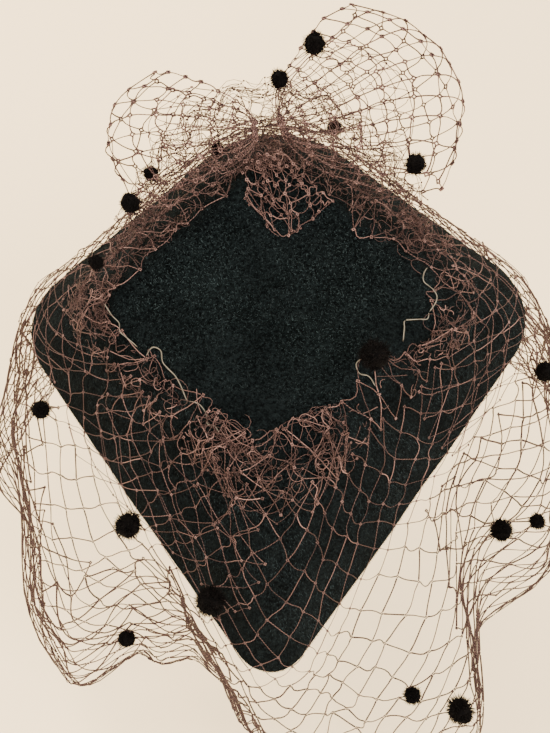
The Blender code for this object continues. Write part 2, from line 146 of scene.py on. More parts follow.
@dataclass(frozen=True)
class HatSizes:
    """The felt's and the veil's own sizes, in metres and degrees."""

    tip_front: float = 0.053
    tip_side: float = 0.058
    tip_back: float = 0.052
    tip_corner: float = 0.017
    tip_dish: float = 0.0035
    rim_front: float = 0.130
    rim_side: float = 0.098
    rim_back: float = 0.085
    rim_side_setback: float = 0.007
    rim_front_lean: float = 0.006
    rim_front_corner: float = 0.015
    rim_side_corner: float = 0.026
    rim_back_corner: float = 0.044
    crown_height: float = 0.048
    front_dip: float = 0.015
    felt: float = 0.0024
    rim_roll: float = 0.0045
    rim_lip: float = 0.0050
    ridge_roll: float = 0.0070
    wall_belly: float = 0.0020
    worn_tilt: float = 20.0
    veil_lift: float = 0.0038
    veil_butt: float = 0.0006
    heading_seat: float = 0.955
    heading_width: float = 0.0125
    heading_height: float = 0.0042
    heading_lift: float = 0.0010
    bow_swell: float = 1.1
    bow_swell_width: float = 0.0225
    hem_wide: float = 0.156
    hem_long: float = 0.166
    hem_drop: float = 0.145
    veil_billow: float = 0.006
    rim_hold: float = 0.22
    hem_hold: float = 0.25


# Where the veil's free edge hangs: share of the way round from the front by the wearer's left, then
# shares of the hem's width, length and drop, and of the billow.
HEMS = np.array([
    (0.000, 0.026, 0.994, 1.000, 0.000), (0.065, 0.288, 1.000, 0.966, 0.000),
    (0.115, 0.513, 0.843, 0.862, 0.667), (0.150, 0.577, 0.596, 0.828, -0.667),
    (0.195, 0.846, 0.404, 0.828, 0.667), (0.260, 1.000, 0.024, 0.814, -0.667),
    (0.360, 0.769, -0.422, 0.745, -0.667), (0.500, 0.000, -0.813, 0.621, 0.000),
    (0.640, -0.737, -0.410, 0.745, -1.000), (0.740, -0.974, 0.024, 0.814, -1.000),
    (0.800, -0.833, 0.343, 0.828, 0.667), (0.860, -0.660, 0.669, 0.897, 1.000),
    (0.910, -0.372, 0.602, 0.897, -0.667), (0.960, -0.115, 0.783, 0.966, 0.000),
])


@dataclass
class HatForm:
    """The surfaces of the hat: rings of the felt, the wall's line, the heading and the veil."""

    sizes: HatSizes = field(default_factory=HatSizes)
    arc_steps: int = 12
    side_steps: int = 18

    def __post_init__(self) -> None:
        """Works out the lines that the veil and the heading start from."""
        s = self.sizes
        self.shares = self.shares_round(self.outline(0.35))
        self.wall_foot = self.ring(0.0, -s.veil_lift, 0.0, s.rim_roll)
        self.wall_line = self.ring(s.heading_seat, 0.0, s.heading_seat, 0.0)
        tilt = math.radians(s.worn_tilt)
        self.to_world = np.array([
            (1, 0, 0), (0, math.cos(tilt), -math.sin(tilt)), (0, math.sin(tilt), math.cos(tilt)),
        ])

    def world(self, points: Array) -> Array:
        """Points of the hat's frame, turned about X into the row frame."""
        return points @ self.to_world.T

    def outline(self, to_tip: float, inset: float = 0.0) -> Array:
        """A rounded diamond's points, from the front corner round by the wearer's left.

        Corner points and roundings are blended from the rim's to the tip's. Each corner is an arc,
        and each side the common tangent of two arcs.

        Args:
            to_tip: 0 at the rim, 1 at the tip.
            inset: How far the whole outline moves inwards.

        Returns:
            An array of points with 2 columns.
        """
        s = self.sizes
        rim = np.array([
            (-s.rim_front_lean, -s.rim_front), (s.rim_side, s.rim_side_setback),
            (0.0, s.rim_back), (-s.rim_side, s.rim_side_setback),
        ])
        tip = np.array([
            (0.0, -s.tip_front), (s.tip_side, 0.0), (0.0, s.tip_back), (-s.tip_side, 0.0),
        ])
        rim_round = np.array([
            s.rim_front_corner, s.rim_side_corner, s.rim_back_corner, s.rim_side_corner,
        ])
        reach = rim + (tip - rim) * to_tip
        rounding = rim_round + (s.tip_corner - rim_round) * to_tip
        ahead = np.roll(reach, -1, axis=0) - reach
        normal = np.unwrap(np.arctan2(ahead[:, 1], ahead[:, 0])) - math.pi / 2
        before = np.roll(normal, 1)
        before[0] -= TURN
        middle = (normal + before) / 2
        centre = reach - compass(middle) * rounding[:, None]
        points = []
        for i in range(4):
            j = (i + 1) % 4
            gap = centre[j] - centre[i]
            lean = math.asin((rounding[j] - rounding[i]) / np.hypot(*gap))
            facing = math.atan2(gap[1], gap[0]) - math.pi / 2 - lean
            facing = middle[i] + (facing - middle[i]) % TURN
            last = middle[j] + (TURN if j == 0 else 0)
            first_arc = np.linspace(middle[i], facing, self.arc_steps, endpoint=False)
            last_arc = np.linspace(facing, last, self.arc_steps, endpoint=False)
            way = np.array([math.cos(facing), math.sin(facing)])
            start = centre[i] + (rounding[i] - inset) * way
            end = centre[j] + (rounding[j] - inset) * way
            along = np.linspace(0, 1, self.side_steps, endpoint=False)[:, None]
            points.append(centre[i] + (rounding[i] - inset) * compass(first_arc))
            points.append(start + (end - start) * along)
            points.append(centre[j] + (rounding[j] - inset) * compass(last_arc))
        return np.vstack(points)

    def ring(self, to_tip: float, inset: float, up: float, lift: float) -> Array:
        """One loop of the felt's points.

        The height runs from the rim, which dips towards the front with the square of the distance,
        to the crown's height, by the share up, plus lift.

        Args:
            to_tip: Which outline, 0 at the rim and 1 at the tip.
            inset: How far it moves inwards.
            up: Share of the way from the rim to the crown.
            lift: Added to the height.

        Returns:
            An array of points with 3 columns.
        """
        s = self.sizes
        flat = self.outline(to_tip, inset)
        low = -s.front_dip * np.clip(-self.outline(0.0)[:, 1] / s.rim_front, 0, 1) ** 2
        return np.column_stack([flat, low + (s.crown_height - low) * up + lift])

    def shares_round(self, points: Array) -> Array:
        """Shares of the way round at which an outline's points lie, a quarter to each corner.

        Args:
            points: The outline.

        Returns:
            A share for each point, and 1 at the end.
        """
        closed = np.vstack([points, points[:1]])
        run = np.append(0.0, np.cumsum(np.linalg.norm(np.diff(closed, axis=0), axis=1)))
        quarter = len(points) // 4
        parts = []
        for k in range(4):
            piece = run[k * quarter:(k + 1) * quarter + 1]
            parts.append((k + (piece[:-1] - piece[0]) / (piece[-1] - piece[0])) / 4)
        return np.append(np.concatenate(parts), 1.0)

    def read_round(self, values: Array, around: Array) -> Array:
        """Values given at an outline's points, read off at shares of the way round.

        Args:
            values: A row of values for each point.
            around: Shares of the way round.

        Returns:
            A row of values for each share, on straight lines between the points.
        """
        around = np.asarray(around, float) % 1.0
        closed = np.vstack([values, values[:1]])
        return np.stack([np.interp(around, self.shares, column) for column in closed.T], axis=-1)

    def hem(self, around: Array) -> tuple[Array, Array]:
        """The veil's free edge and its billow, by Hermite curves through the table's rows.

        Args:
            around: Shares of the way round.

        Returns:
            Places in the row frame, and the billow, one column.
        """
        s = self.sizes
        rows = HEMS * (1.0, s.hem_wide, -s.hem_long, -s.hem_drop, s.veil_billow)
        values = np.vstack([rows[-2:], rows, rows[:2]])
        values[:2, 0] -= 1
        values[-2:, 0] += 1
        around = np.asarray(around, float) % 1.0
        k = np.clip(np.searchsorted(values[:, 0], around, side="right") - 1, 1, len(values) - 3)
        before, start, end, after = (values[k + n] for n in (-1, 0, 1, 2))
        span = (end[..., 0] - start[..., 0])[..., None]
        first = (end - before)[..., 1:] / (end - before)[..., :1] * span
        last = (after - start)[..., 1:] / (after - start)[..., :1] * span
        t = (around[..., None] - start[..., :1]) / span
        curve = (2 * t ** 3 - 3 * t ** 2 + 1) * start[..., 1:] + (t ** 3 - 2 * t ** 2 + t) * first
        curve = curve + (3 * t ** 2 - 2 * t ** 3) * end[..., 1:] + (t ** 3 - t ** 2) * last
        return curve[..., :3], curve[..., 3:]

    def wall_at(self, around: Array) -> tuple[Array, Array, Array]:
        """The wall's head and its directions.

        Args:
            around: Shares of the way round.

        Returns:
            The heading's seat, the way down the wall and the way off it.
        """
        seat = self.read_round(self.wall_line, around)
        along = unit(self.read_round(self.wall_foot, around) - seat)
        return seat, along, unit(np.array([0.0, 0.0, 1.0]) - along * along[..., 2:3])

    def heading(self, around: Array, turn: Array, grow: float = 1.0) -> Array:
        """The gathered heading: an ellipse carried round the head of the wall.

        Args:
            around: Shares of the way round.
            turn: Shares of the ellipse, 0 on the wall's side, 0.25 on top and 0.5 on the tip's side.
            grow: The ellipse's size as a share of the usual one.

        Returns:
            Points in the hat's frame.
        """
        s = self.sizes
        around, turn = matched(around, turn)
        seat, along, upward = self.wall_at(around)
        wander = np.sin(TURN * 7 * around) * 0.4 + np.sin(TURN * 13 * around + 1.3) * 0.3
        from_bow = np.linalg.norm(seat - self.read_round(self.wall_line, np.array(0.5)), axis=-1)
        swell = smooth_step(1 - from_bow / s.bow_swell_width) * s.bow_swell
        half_high = s.heading_height / 2 * (1.0 + swell) * grow
        half_wide = s.heading_width / 2 * (0.85 + 0.22 * wander) * grow
        aside = half_wide * np.cos(TURN * turn)
        lift = half_high * (1 + np.sin(TURN * turn)) + s.heading_lift
        return seat + along * aside[..., None] + upward * lift[..., None]

    def fall(self, around: Array) -> tuple[Array, Array, Array, Array]:
        """The places that the veil runs through.

        Args:
            around: Shares of the way round.

        Returns:
            Where it starts at the heading, leaves the rim and ends at the hem, and its billow.
        """
        hem, billow = self.hem(around)
        foot = self.read_round(self.wall_foot, around)
        head = self.heading(around, np.array(0.0)) + self.wall_at(around)[1] * self.sizes.veil_butt
        return head, foot, hem @ self.to_world, billow

    def past_rim(self, around: Array, down: Array) -> Array:
        """How far points of the veil are past the rim.

        Args:
            around: Shares of the way round.
            down: Shares of the way from the heading to the hem.

        Returns:
            0 on the wall, rising softly to 1 at 5 mm past the rim.
        """
        head, foot, hem, _ = self.fall(around)
        wall = np.linalg.norm(foot - head, axis=-1)
        length = (wall + np.linalg.norm(hem - foot, axis=-1)) * down
        return smooth_step((length - wall) / 0.010 + 0.5)

    def veil(self, around: Array, down: Array) -> Array:
        """The veil's middle surface.

        Down the wall it is a straight line with a slight swell. Below the rim it is a cubic curve
        that leaves along the wall's slope and ends straight above the hem.

        Args:
            around: Shares of the way round.
            down: Shares of the way from the heading to the hem.

        Returns:
            Points in the hat's frame.
        """
        s = self.sizes
        around, down = matched(around, down)
        head, foot, hem, billow = self.fall(around)
        wall = np.linalg.norm(foot - head, axis=-1, keepdims=True)
        drop = np.linalg.norm(hem - foot, axis=-1, keepdims=True)
        along = (foot - head) / wall
        upward = unit(np.array([0.0, 0.0, 1.0]) - along * along[..., 2:3])
        plumb = self.to_world[2]
        outward = unit((hem - foot) - ((hem - foot) @ plumb)[..., None] * plumb)
        length = (wall + drop) * down[..., None]
        share = np.clip(length / wall, 0, 1)
        t = np.clip((length - wall) / drop, 0, 1)
        on_wall = head + (foot - head) * share + upward * (s.wall_belly * 4 * share * (1 - share))
        first, last = foot + along * drop * s.rim_hold, hem + plumb * drop * s.hem_hold
        curve = (1 - t) ** 3 * foot + 3 * t * (1 - t) ** 2 * first + 3 * t ** 2 * (1 - t) * last
        curve = curve + t ** 3 * hem
        return np.where(length < wall, on_wall, curve + outward * billow * np.sin(math.pi * t))


# Meshes from arrays.

@dataclass
class MeshArrays:
    """A mesh as arrays: points, quads, triangles, their corners' map places and point values."""

    points: Array
    quads: Array
    triangles: Array
    quad_map: Array
    triangle_map: Array
    values: dict[str, Array]

    @classmethod
    def unmapped(
        cls, points: Array, quads: Array, triangles: Array, tones: Array | None = None,
    ) -> "MeshArrays":
        """A mesh whose finish needs no map.

        Args:
            points: The points.
            quads: Their numbers at the quads' corners.
            triangles: Their numbers at the triangles' corners.
            tones: A value from 0 to 1 for each point, if the finish reads it.

        Returns:
            The mesh's arrays, with an empty map.
        """
        values = {} if tones is None else {"tone": tones}
        quad_map, triangle_map = np.zeros((len(quads), 4, 2)), np.zeros((len(triangles), 3, 2))
        return cls(points, quads, triangles, quad_map, triangle_map, values)

    def joined(self, other: "MeshArrays") -> "MeshArrays":
        """This mesh and another as one.

        Args:
            other: The other mesh, with the same values.

        Returns:
            The mesh's arrays.
        """
        shift = len(self.points)
        return MeshArrays(
            np.vstack([self.points, other.points]),
            np.vstack([self.quads, other.quads + shift]),
            np.vstack([self.triangles, other.triangles + shift]),
            np.vstack([self.quad_map, other.quad_map]),
            np.vstack([self.triangle_map, other.triangle_map]),
            {name: np.append(value, other.values[name]) for name, value in self.values.items()},
        )

    def build(self, name: str, form: HatForm, material: bpy.types.Material) -> bpy.types.Object:
        """Puts the arrays into a mesh object in the row frame, shaded smooth.

        Args:
            name: The object's name.
            form: The hat's form, which turns its frame into the row frame.
            material: The finish.

        Returns:
            The object.
        """
        mesh = bpy.data.meshes.new(name)
        mesh.vertices.add(len(self.points))
        mesh.vertices.foreach_set("co", form.world(self.points).astype(np.float32).ravel())
        corners = np.concatenate([self.quads.ravel(), self.triangles.ravel()]).astype(np.int32)
        counts = np.concatenate([np.full(len(self.quads), 4), np.full(len(self.triangles), 3)])
        starts = np.append(0, np.cumsum(counts)[:-1]).astype(np.int32)
        mesh.loops.add(len(corners))
        mesh.loops.foreach_set("vertex_index", corners)
        mesh.polygons.add(len(counts))
        mesh.polygons.foreach_set("loop_start", starts)
        places = mesh.uv_layers.new(name="run")
        both = np.concatenate([self.quad_map.reshape(-1, 2), self.triangle_map.reshape(-1, 2)])
        places.uv.foreach_set("vector", both.astype(np.float32).ravel())
        for label, value in self.values.items():
            made = mesh.attributes.new(label, "FLOAT", "POINT")
            made.data.foreach_set("value", value.astype(np.float32))
        mesh.update()
        mesh.shade_smooth()
        mesh.materials.append(material)
        made = bpy.data.objects.new(name, mesh)
        bpy.context.scene.collection.objects.link(made)
        return made


def tubes(paths: Array, guides: Array, radii: Array, tones: Array, sides: int = 4) -> MeshArrays:
    """Closed tubes carried along many paths at once.

    Each ring is the path's point plus radius times (cos a side + sin a upward), with side square to
    the path and the guide; each end draws together in one point.

    Args:
        paths: Strands by points by 3.
        guides: A direction for each strand, which its rings are turned by.
        radii: Strands by points, the strand's radius there; the ends' are not used.
        tones: A value from 0 to 1 for each strand.
        sides: Corners of a ring.

    Returns:
        The mesh's arrays. Its map holds the share round the ring and the distance along, in cm.
    """
    count, steps = paths.shape[:2]
    tangent = unit(np.gradient(paths, axis=1))
    side = unit(np.cross(tangent, guides[:, None, :]))
    upward = np.cross(tangent, side)
    angle = np.arange(sides) * TURN / sides
    inner = slice(1, steps - 1)
    aside, above = side[:, inner, None, :], upward[:, inner, None, :]
    off = np.cos(angle)[:, None] * aside + np.sin(angle)[:, None] * above
    rings = paths[:, inner, None, :] + radii[:, inner, None, None] * off
    per = (steps - 2) * sides + 2
    points = np.concatenate([rings.reshape(count, -1, 3), paths[:, :1], paths[:, -1:]], axis=1)
    run = np.concatenate([
        np.zeros((count, 1)), np.cumsum(np.linalg.norm(np.diff(paths, axis=1), axis=-1), axis=1),
    ], axis=1) * 100
    n, k = np.meshgrid(np.arange(steps - 3), np.arange(sides), indexing="ij")
    n, k = n.ravel(), k.ravel()
    around = (k + 1) % sides
    low, high = n * sides, (n + 1) * sides
    local = np.column_stack([low + k, low + around, high + around, high + k])
    base = np.arange(count)[:, None, None] * per
    quads = (local[None] + base).reshape(-1, 4)
    share = np.column_stack([k, k + 1, k + 1, k]) / sides
    level = np.column_stack([n + 1, n + 1, n + 2, n + 2])
    share = np.broadcast_to(share, (count, *share.shape))
    quad_map = np.stack([share, run[:, level]], axis=-1).reshape(-1, 4, 2)
    k = np.arange(sides)
    around = (k + 1) % sides
    last = (steps - 3) * sides
    first_cap = np.column_stack([np.full(sides, per - 2), around, k])
    last_cap = np.column_stack([np.full(sides, per - 1), last + k, last + around])
    triangles = (np.vstack([first_cap, last_cap])[None] + base).reshape(-1, 3)
    triangle_share = np.column_stack([k + 0.5, k + 1, k]) / sides
    triangle_share = np.vstack([triangle_share, np.column_stack([k + 0.5, k, k + 1]) / sides])
    cap_run = np.concatenate([
        np.broadcast_to(run[:, [0, 1, 1]][:, None], (count, sides, 3)),
        np.broadcast_to(run[:, [-1, -2, -2]][:, None], (count, sides, 3)),
    ], axis=1)
    cap_share = np.broadcast_to(triangle_share, cap_run.shape)
    triangle_map = np.stack([cap_share, cap_run], axis=-1).reshape(-1, 3, 2)
    values = {"tone": np.repeat(tones, per)}
    return MeshArrays(points.reshape(-1, 3), quads, triangles, quad_map, triangle_map, values)


def hairs(roots: Array, ways: Array, bends: Array, length: Array, width: float, tones: Array) -> MeshArrays:
    """Fine hairs, each a narrow blade of one triangle on one quad.

    A hair runs from its root along its way and turns by its bend halfway up. Its blade is as wide as
    width at the root, 0.8 of that halfway, and comes to a point.

    Args:
        roots: Where the hairs stand.
        ways: The way each sets off.
        bends: What is added to that way over its length.
        length: Each hair's length.
        width: Width at the root.
        tones: A value from 0 to 1 for each.

    Returns:
        The mesh's arrays.
    """
    count = len(roots)
    length = np.asarray(length)[:, None]
    side = unit(np.cross(ways, bends)) * width / 2
    knee = roots + unit(ways) * length * 0.5
    end = knee + unit(ways + bends) * length * 0.5
    points = np.stack([roots - side, roots + side, knee + side * 0.8, knee - side * 0.8, end], axis=1)
    base = np.arange(count)[:, None] * 5
    quads = base + np.array([0, 1, 2, 3])
    triangles = base + np.array([3, 2, 4])
    return MeshArrays.unmapped(points.reshape(-1, 3), quads, triangles, np.repeat(tones, 5))


def finish_piece(made: bpy.types.Object, nodes: Sequence[str] = ()) -> bpy.types.Object:
    """Ties a piece to the hat's body and the nodes that it stands for.

    Args:
        made: The piece.
        nodes: The nodes of the part that it replaces.

    Returns:
        The piece.
    """
    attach(made, "root")
    if nodes:
        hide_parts(*nodes)
    log.info("%s: %d faces", made.name, len(made.data.polygons))
    return made


# Shaders.

class Value:
    """A shader socket that takes part in Python expressions."""

    def __init__(self, graph: "Graph", socket: bpy.types.NodeSocket) -> None:
        """Wraps a socket of a graph."""
        self.graph = graph
        self.socket = socket

    def maths(self, operation: str, first: "Value | float", second: "Value | float" = 0.0) -> "Value":
        """A Math node on two values."""
        made = self.graph.node("ShaderNodeMath", {"operation": operation}, {0: first, 1: second})
        return Value(self.graph, made.outputs[0])

    def __add__(self, other: "Value | float") -> "Value":
        """Sum."""
        return self.maths("ADD", self, other)

    __radd__ = __add__

    def __mul__(self, other: "Value | float") -> "Value":
        """Product."""
        return self.maths("MULTIPLY", self, other)

    __rmul__ = __mul__

    def __sub__(self, other: "Value | float") -> "Value":
        """Difference."""
        return self.maths("SUBTRACT", self, other)

    def __rsub__(self, other: float) -> "Value":
        """A number less this value."""
        return self.maths("SUBTRACT", other, self)

    def power(self, exponent: float) -> "Value":
        """This value to a power."""
        return self.maths("POWER", self, exponent)

    def sine(self) -> "Value":
        """Its sine."""
        return self.maths("SINE", self)

    def clamped(self) -> "Value":
        """Held between 0 and 1."""
        return self.maths("MINIMUM", self.maths("MAXIMUM", self, 0.0), 1.0)


class Graph:
    """A material's nodes, built from one shader down."""

    def __init__(self, name: str) -> None:
        """Starts a material with a Principled shader."""
        self.material = bpy.data.materials.new(name)
        self.material.use_nodes = True
        self.tree = self.material.node_tree
        self.shader = self.tree.nodes["Principled BSDF"]

    def node(self, kind: str, settings: Mapping, inputs: Mapping) -> bpy.types.Node:
        """Any node.

        Args:
            kind: The node's type.
            settings: Its settings, which are set first.
            inputs: Values or links for its sockets.

        Returns:
            The node.
        """
        made = self.tree.nodes.new(kind)
        for key, value in settings.items():
            setattr(made, key, value)
        for key, value in inputs.items():
            self.feed(made.inputs[key], value)
        return made

    def feed(self, socket: bpy.types.NodeSocket, value: object) -> None:
        """Links or sets one socket.

        Args:
            socket: The socket.
            value: A Value to link, or a constant.
        """
        if isinstance(value, Value):
            self.tree.links.new(value.socket, socket)
        else:
            socket.default_value = value

    def place(self) -> Value:
        """Object coordinates."""
        return Value(self, self.node("ShaderNodeTexCoord", {}, {}).outputs["Object"])

    def attribute(self, name: str) -> Value:
        """A point value of the mesh."""
        return Value(self, self.node("ShaderNodeAttribute", {"attribute_name": name}, {}).outputs["Fac"])

    def noise(self, scale: float, detail: float = 2.0) -> Value:
        """Noise at Object coordinates, with that many lumps to the metre."""
        made = self.node("ShaderNodeTexNoise", {}, {"Vector": self.place(), "Scale": scale, "Detail": detail})
        return Value(self, made.outputs["Fac"])

    def blend(self, factor: "Value | float", first: object, second: object) -> Value:
        """A mix of two colours."""
        made = self.node("ShaderNodeMix", {"data_type": "RGBA"}, {0: factor, 6: first, 7: second})
        return Value(self, made.outputs[2])

    def bump(self, height: Value, distance: float, strength: float) -> None:
        """Feeds the shader's normal from a height."""
        made = self.node("ShaderNodeBump", {}, {"Height": height, "Distance": distance, "Strength": strength})
        self.feed(self.shader.inputs["Normal"], Value(self, made.outputs[0]))

    def set(self, **inputs: object) -> None:
        """Sets the shader's sockets, spaces in their names written as underscores."""
        for key, value in inputs.items():
            self.feed(self.shader.inputs[key.replace("_", " ")], value)


Colour = tuple[float, float, float, float]


def rgb(red: float, green: float, blue: float) -> Colour:
    """A linear colour."""
    return (red, green, blue, 1.0)


@dataclass(frozen=True)
class FeltFinish:
    """Brushed black fur felt with a faint green-blue cast."""

    deep: Colour = rgb(0.0003, 0.0005, 0.0006)
    light: Colour = rgb(0.0092, 0.0130, 0.0136)
    roughness: float = 0.88
    sheen: Colour = rgb(0.30, 0.42, 0.44)
    patch_grain: float = 70.0
    pile_grain: float = 800.0
    hair_grain: float = 2300.0

    def material(self) -> bpy.types.Material:
        """Cloudy patches, the pile and single hairs, in colour, and the last two in bump.

        Returns:
            The material.
        """
        graph = Graph("black_fur_felt")
        patches = graph.noise(self.patch_grain, 3.0)
        pile = graph.noise(self.pile_grain, 3.0)
        hair = graph.noise(self.hair_grain, 2.0)
        mix = (patches * 0.6 + pile * 1.3 + hair * 1.6 - 1.52).clamped()
        graph.set(Base_Color=graph.blend(mix, self.deep, self.light), Roughness=self.roughness,
                  Sheen_Weight=0.02, Sheen_Roughness=0.45, Sheen_Tint=self.sheen,
                  Specular_IOR_Level=0.02)
        graph.bump(pile * 0.7 + hair * 0.3, 0.0008, 0.8)
        return graph.material


@dataclass(frozen=True)
class PileFinish:
    """The felt's loose hairs."""

    deep: Colour = rgb(0.0006, 0.0009, 0.0010)
    light: Colour = rgb(0.048, 0.066, 0.068)
    roughness: float = 0.6

    def material(self) -> bpy.types.Material:
        """Each hair has its own tone, paler towards the back as a painted highlight.

        Returns:
            The material.
        """
        graph = Graph("felt_pile")
        tone = graph.attribute("tone")
        graph.set(Base_Color=graph.blend(tone, self.deep, self.light), Roughness=self.roughness,
                  Specular_IOR_Level=0.03)
        return graph.material


@dataclass(frozen=True)
class StrandFinish:
    """Two-ply net thread, red-brown, in uneven tones and paler at its knots."""

    name: str = "brown_net"
    dark: Colour = rgb(0.016, 0.0043, 0.0039)
    pale: Colour = rgb(0.350, 0.200, 0.168)
    roughness: float = 0.55
    twist: float = 8.0
    blotch_grain: float = 160.0
    ply_depth: float = 0.0002

    def material(self) -> bpy.types.Material:
        """Thread by thread tones with blotches and the ply's wave.

        The ply is a slanted wave of the share round the thread and the distance along it; it bumps the
        thread and also paints shade into the twist's grooves and highlight onto its crests. The tones
        are squared, so that most threads are dark and a few are pale.

        Returns:
            The material.
        """
        graph = Graph(self.name)
        uv = graph.node("ShaderNodeUVMap", {"uv_map": "run"}, {})
        parts = graph.node("ShaderNodeSeparateXYZ", {}, {0: Value(graph, uv.outputs[0])})
        round_it, along = Value(graph, parts.outputs[0]), Value(graph, parts.outputs[1])
        ply = ((round_it * 2.0 + along * self.twist) * TURN).sine() * 0.5 + 0.5
        tone = graph.attribute("tone")
        blotch = graph.noise(self.blotch_grain, 2.0)
        # Painted shade and highlight: the ply's wave darkens the grooves and lightens the crests of the
        # twist.
        shade = (tone.power(2.0) * 0.85 + blotch * 0.4 - 0.20 + ply * 0.60 - 0.30).clamped()
        graph.set(Base_Color=graph.blend(shade, self.dark, self.pale), Roughness=self.roughness,
                  Specular_IOR_Level=0.15)
        graph.bump(ply, self.ply_depth, 0.7)
        return graph.material


@dataclass(frozen=True)
class ChenilleFinish:
    """Black chenille with brown lights in it."""

    deep: Colour = rgb(0.0008, 0.0007, 0.0007)
    light: Colour = rgb(0.013, 0.0095, 0.0085)
    roughness: float = 0.85
    mottle_grain: float = 1400.0

    def material(self) -> bpy.types.Material:
        """Each tuft has its own tone, over a fine mottle.

        Returns:
            The material.
        """
        graph = Graph("black_chenille")
        tone = graph.attribute("tone")
        mottle = graph.noise(self.mottle_grain, 2.0)
        mix = (tone * 0.8 + mottle * 0.5 - 0.25).clamped()
        graph.set(Base_Color=graph.blend(mix, self.deep, self.light), Roughness=self.roughness,
                  Specular_IOR_Level=0.03, Sheen_Weight=0.01, Sheen_Roughness=0.4)
        graph.bump(mottle, 0.0006, 0.6)
        return graph.material


@dataclass(frozen=True)
class FloorFinish:
    """Pale cream paint."""

    deep: Colour = rgb(0.95, 0.73, 0.44)
    light: Colour = rgb(0.96, 0.76, 0.49)
    roughness: float = 0.9
    cloud_grain: float = 3.0

    def material(self) -> bpy.types.Material:
        """A faint cloudiness in one colour.

        Returns:
            The material.
        """
        graph = Graph("pale_floor")
        cloud = graph.noise(self.cloud_grain, 2.0)
        graph.set(Base_Color=graph.blend(cloud, self.deep, self.light), Roughness=self.roughness,
                  Specular_IOR_Level=0.1)
        return graph.material


# The felt.

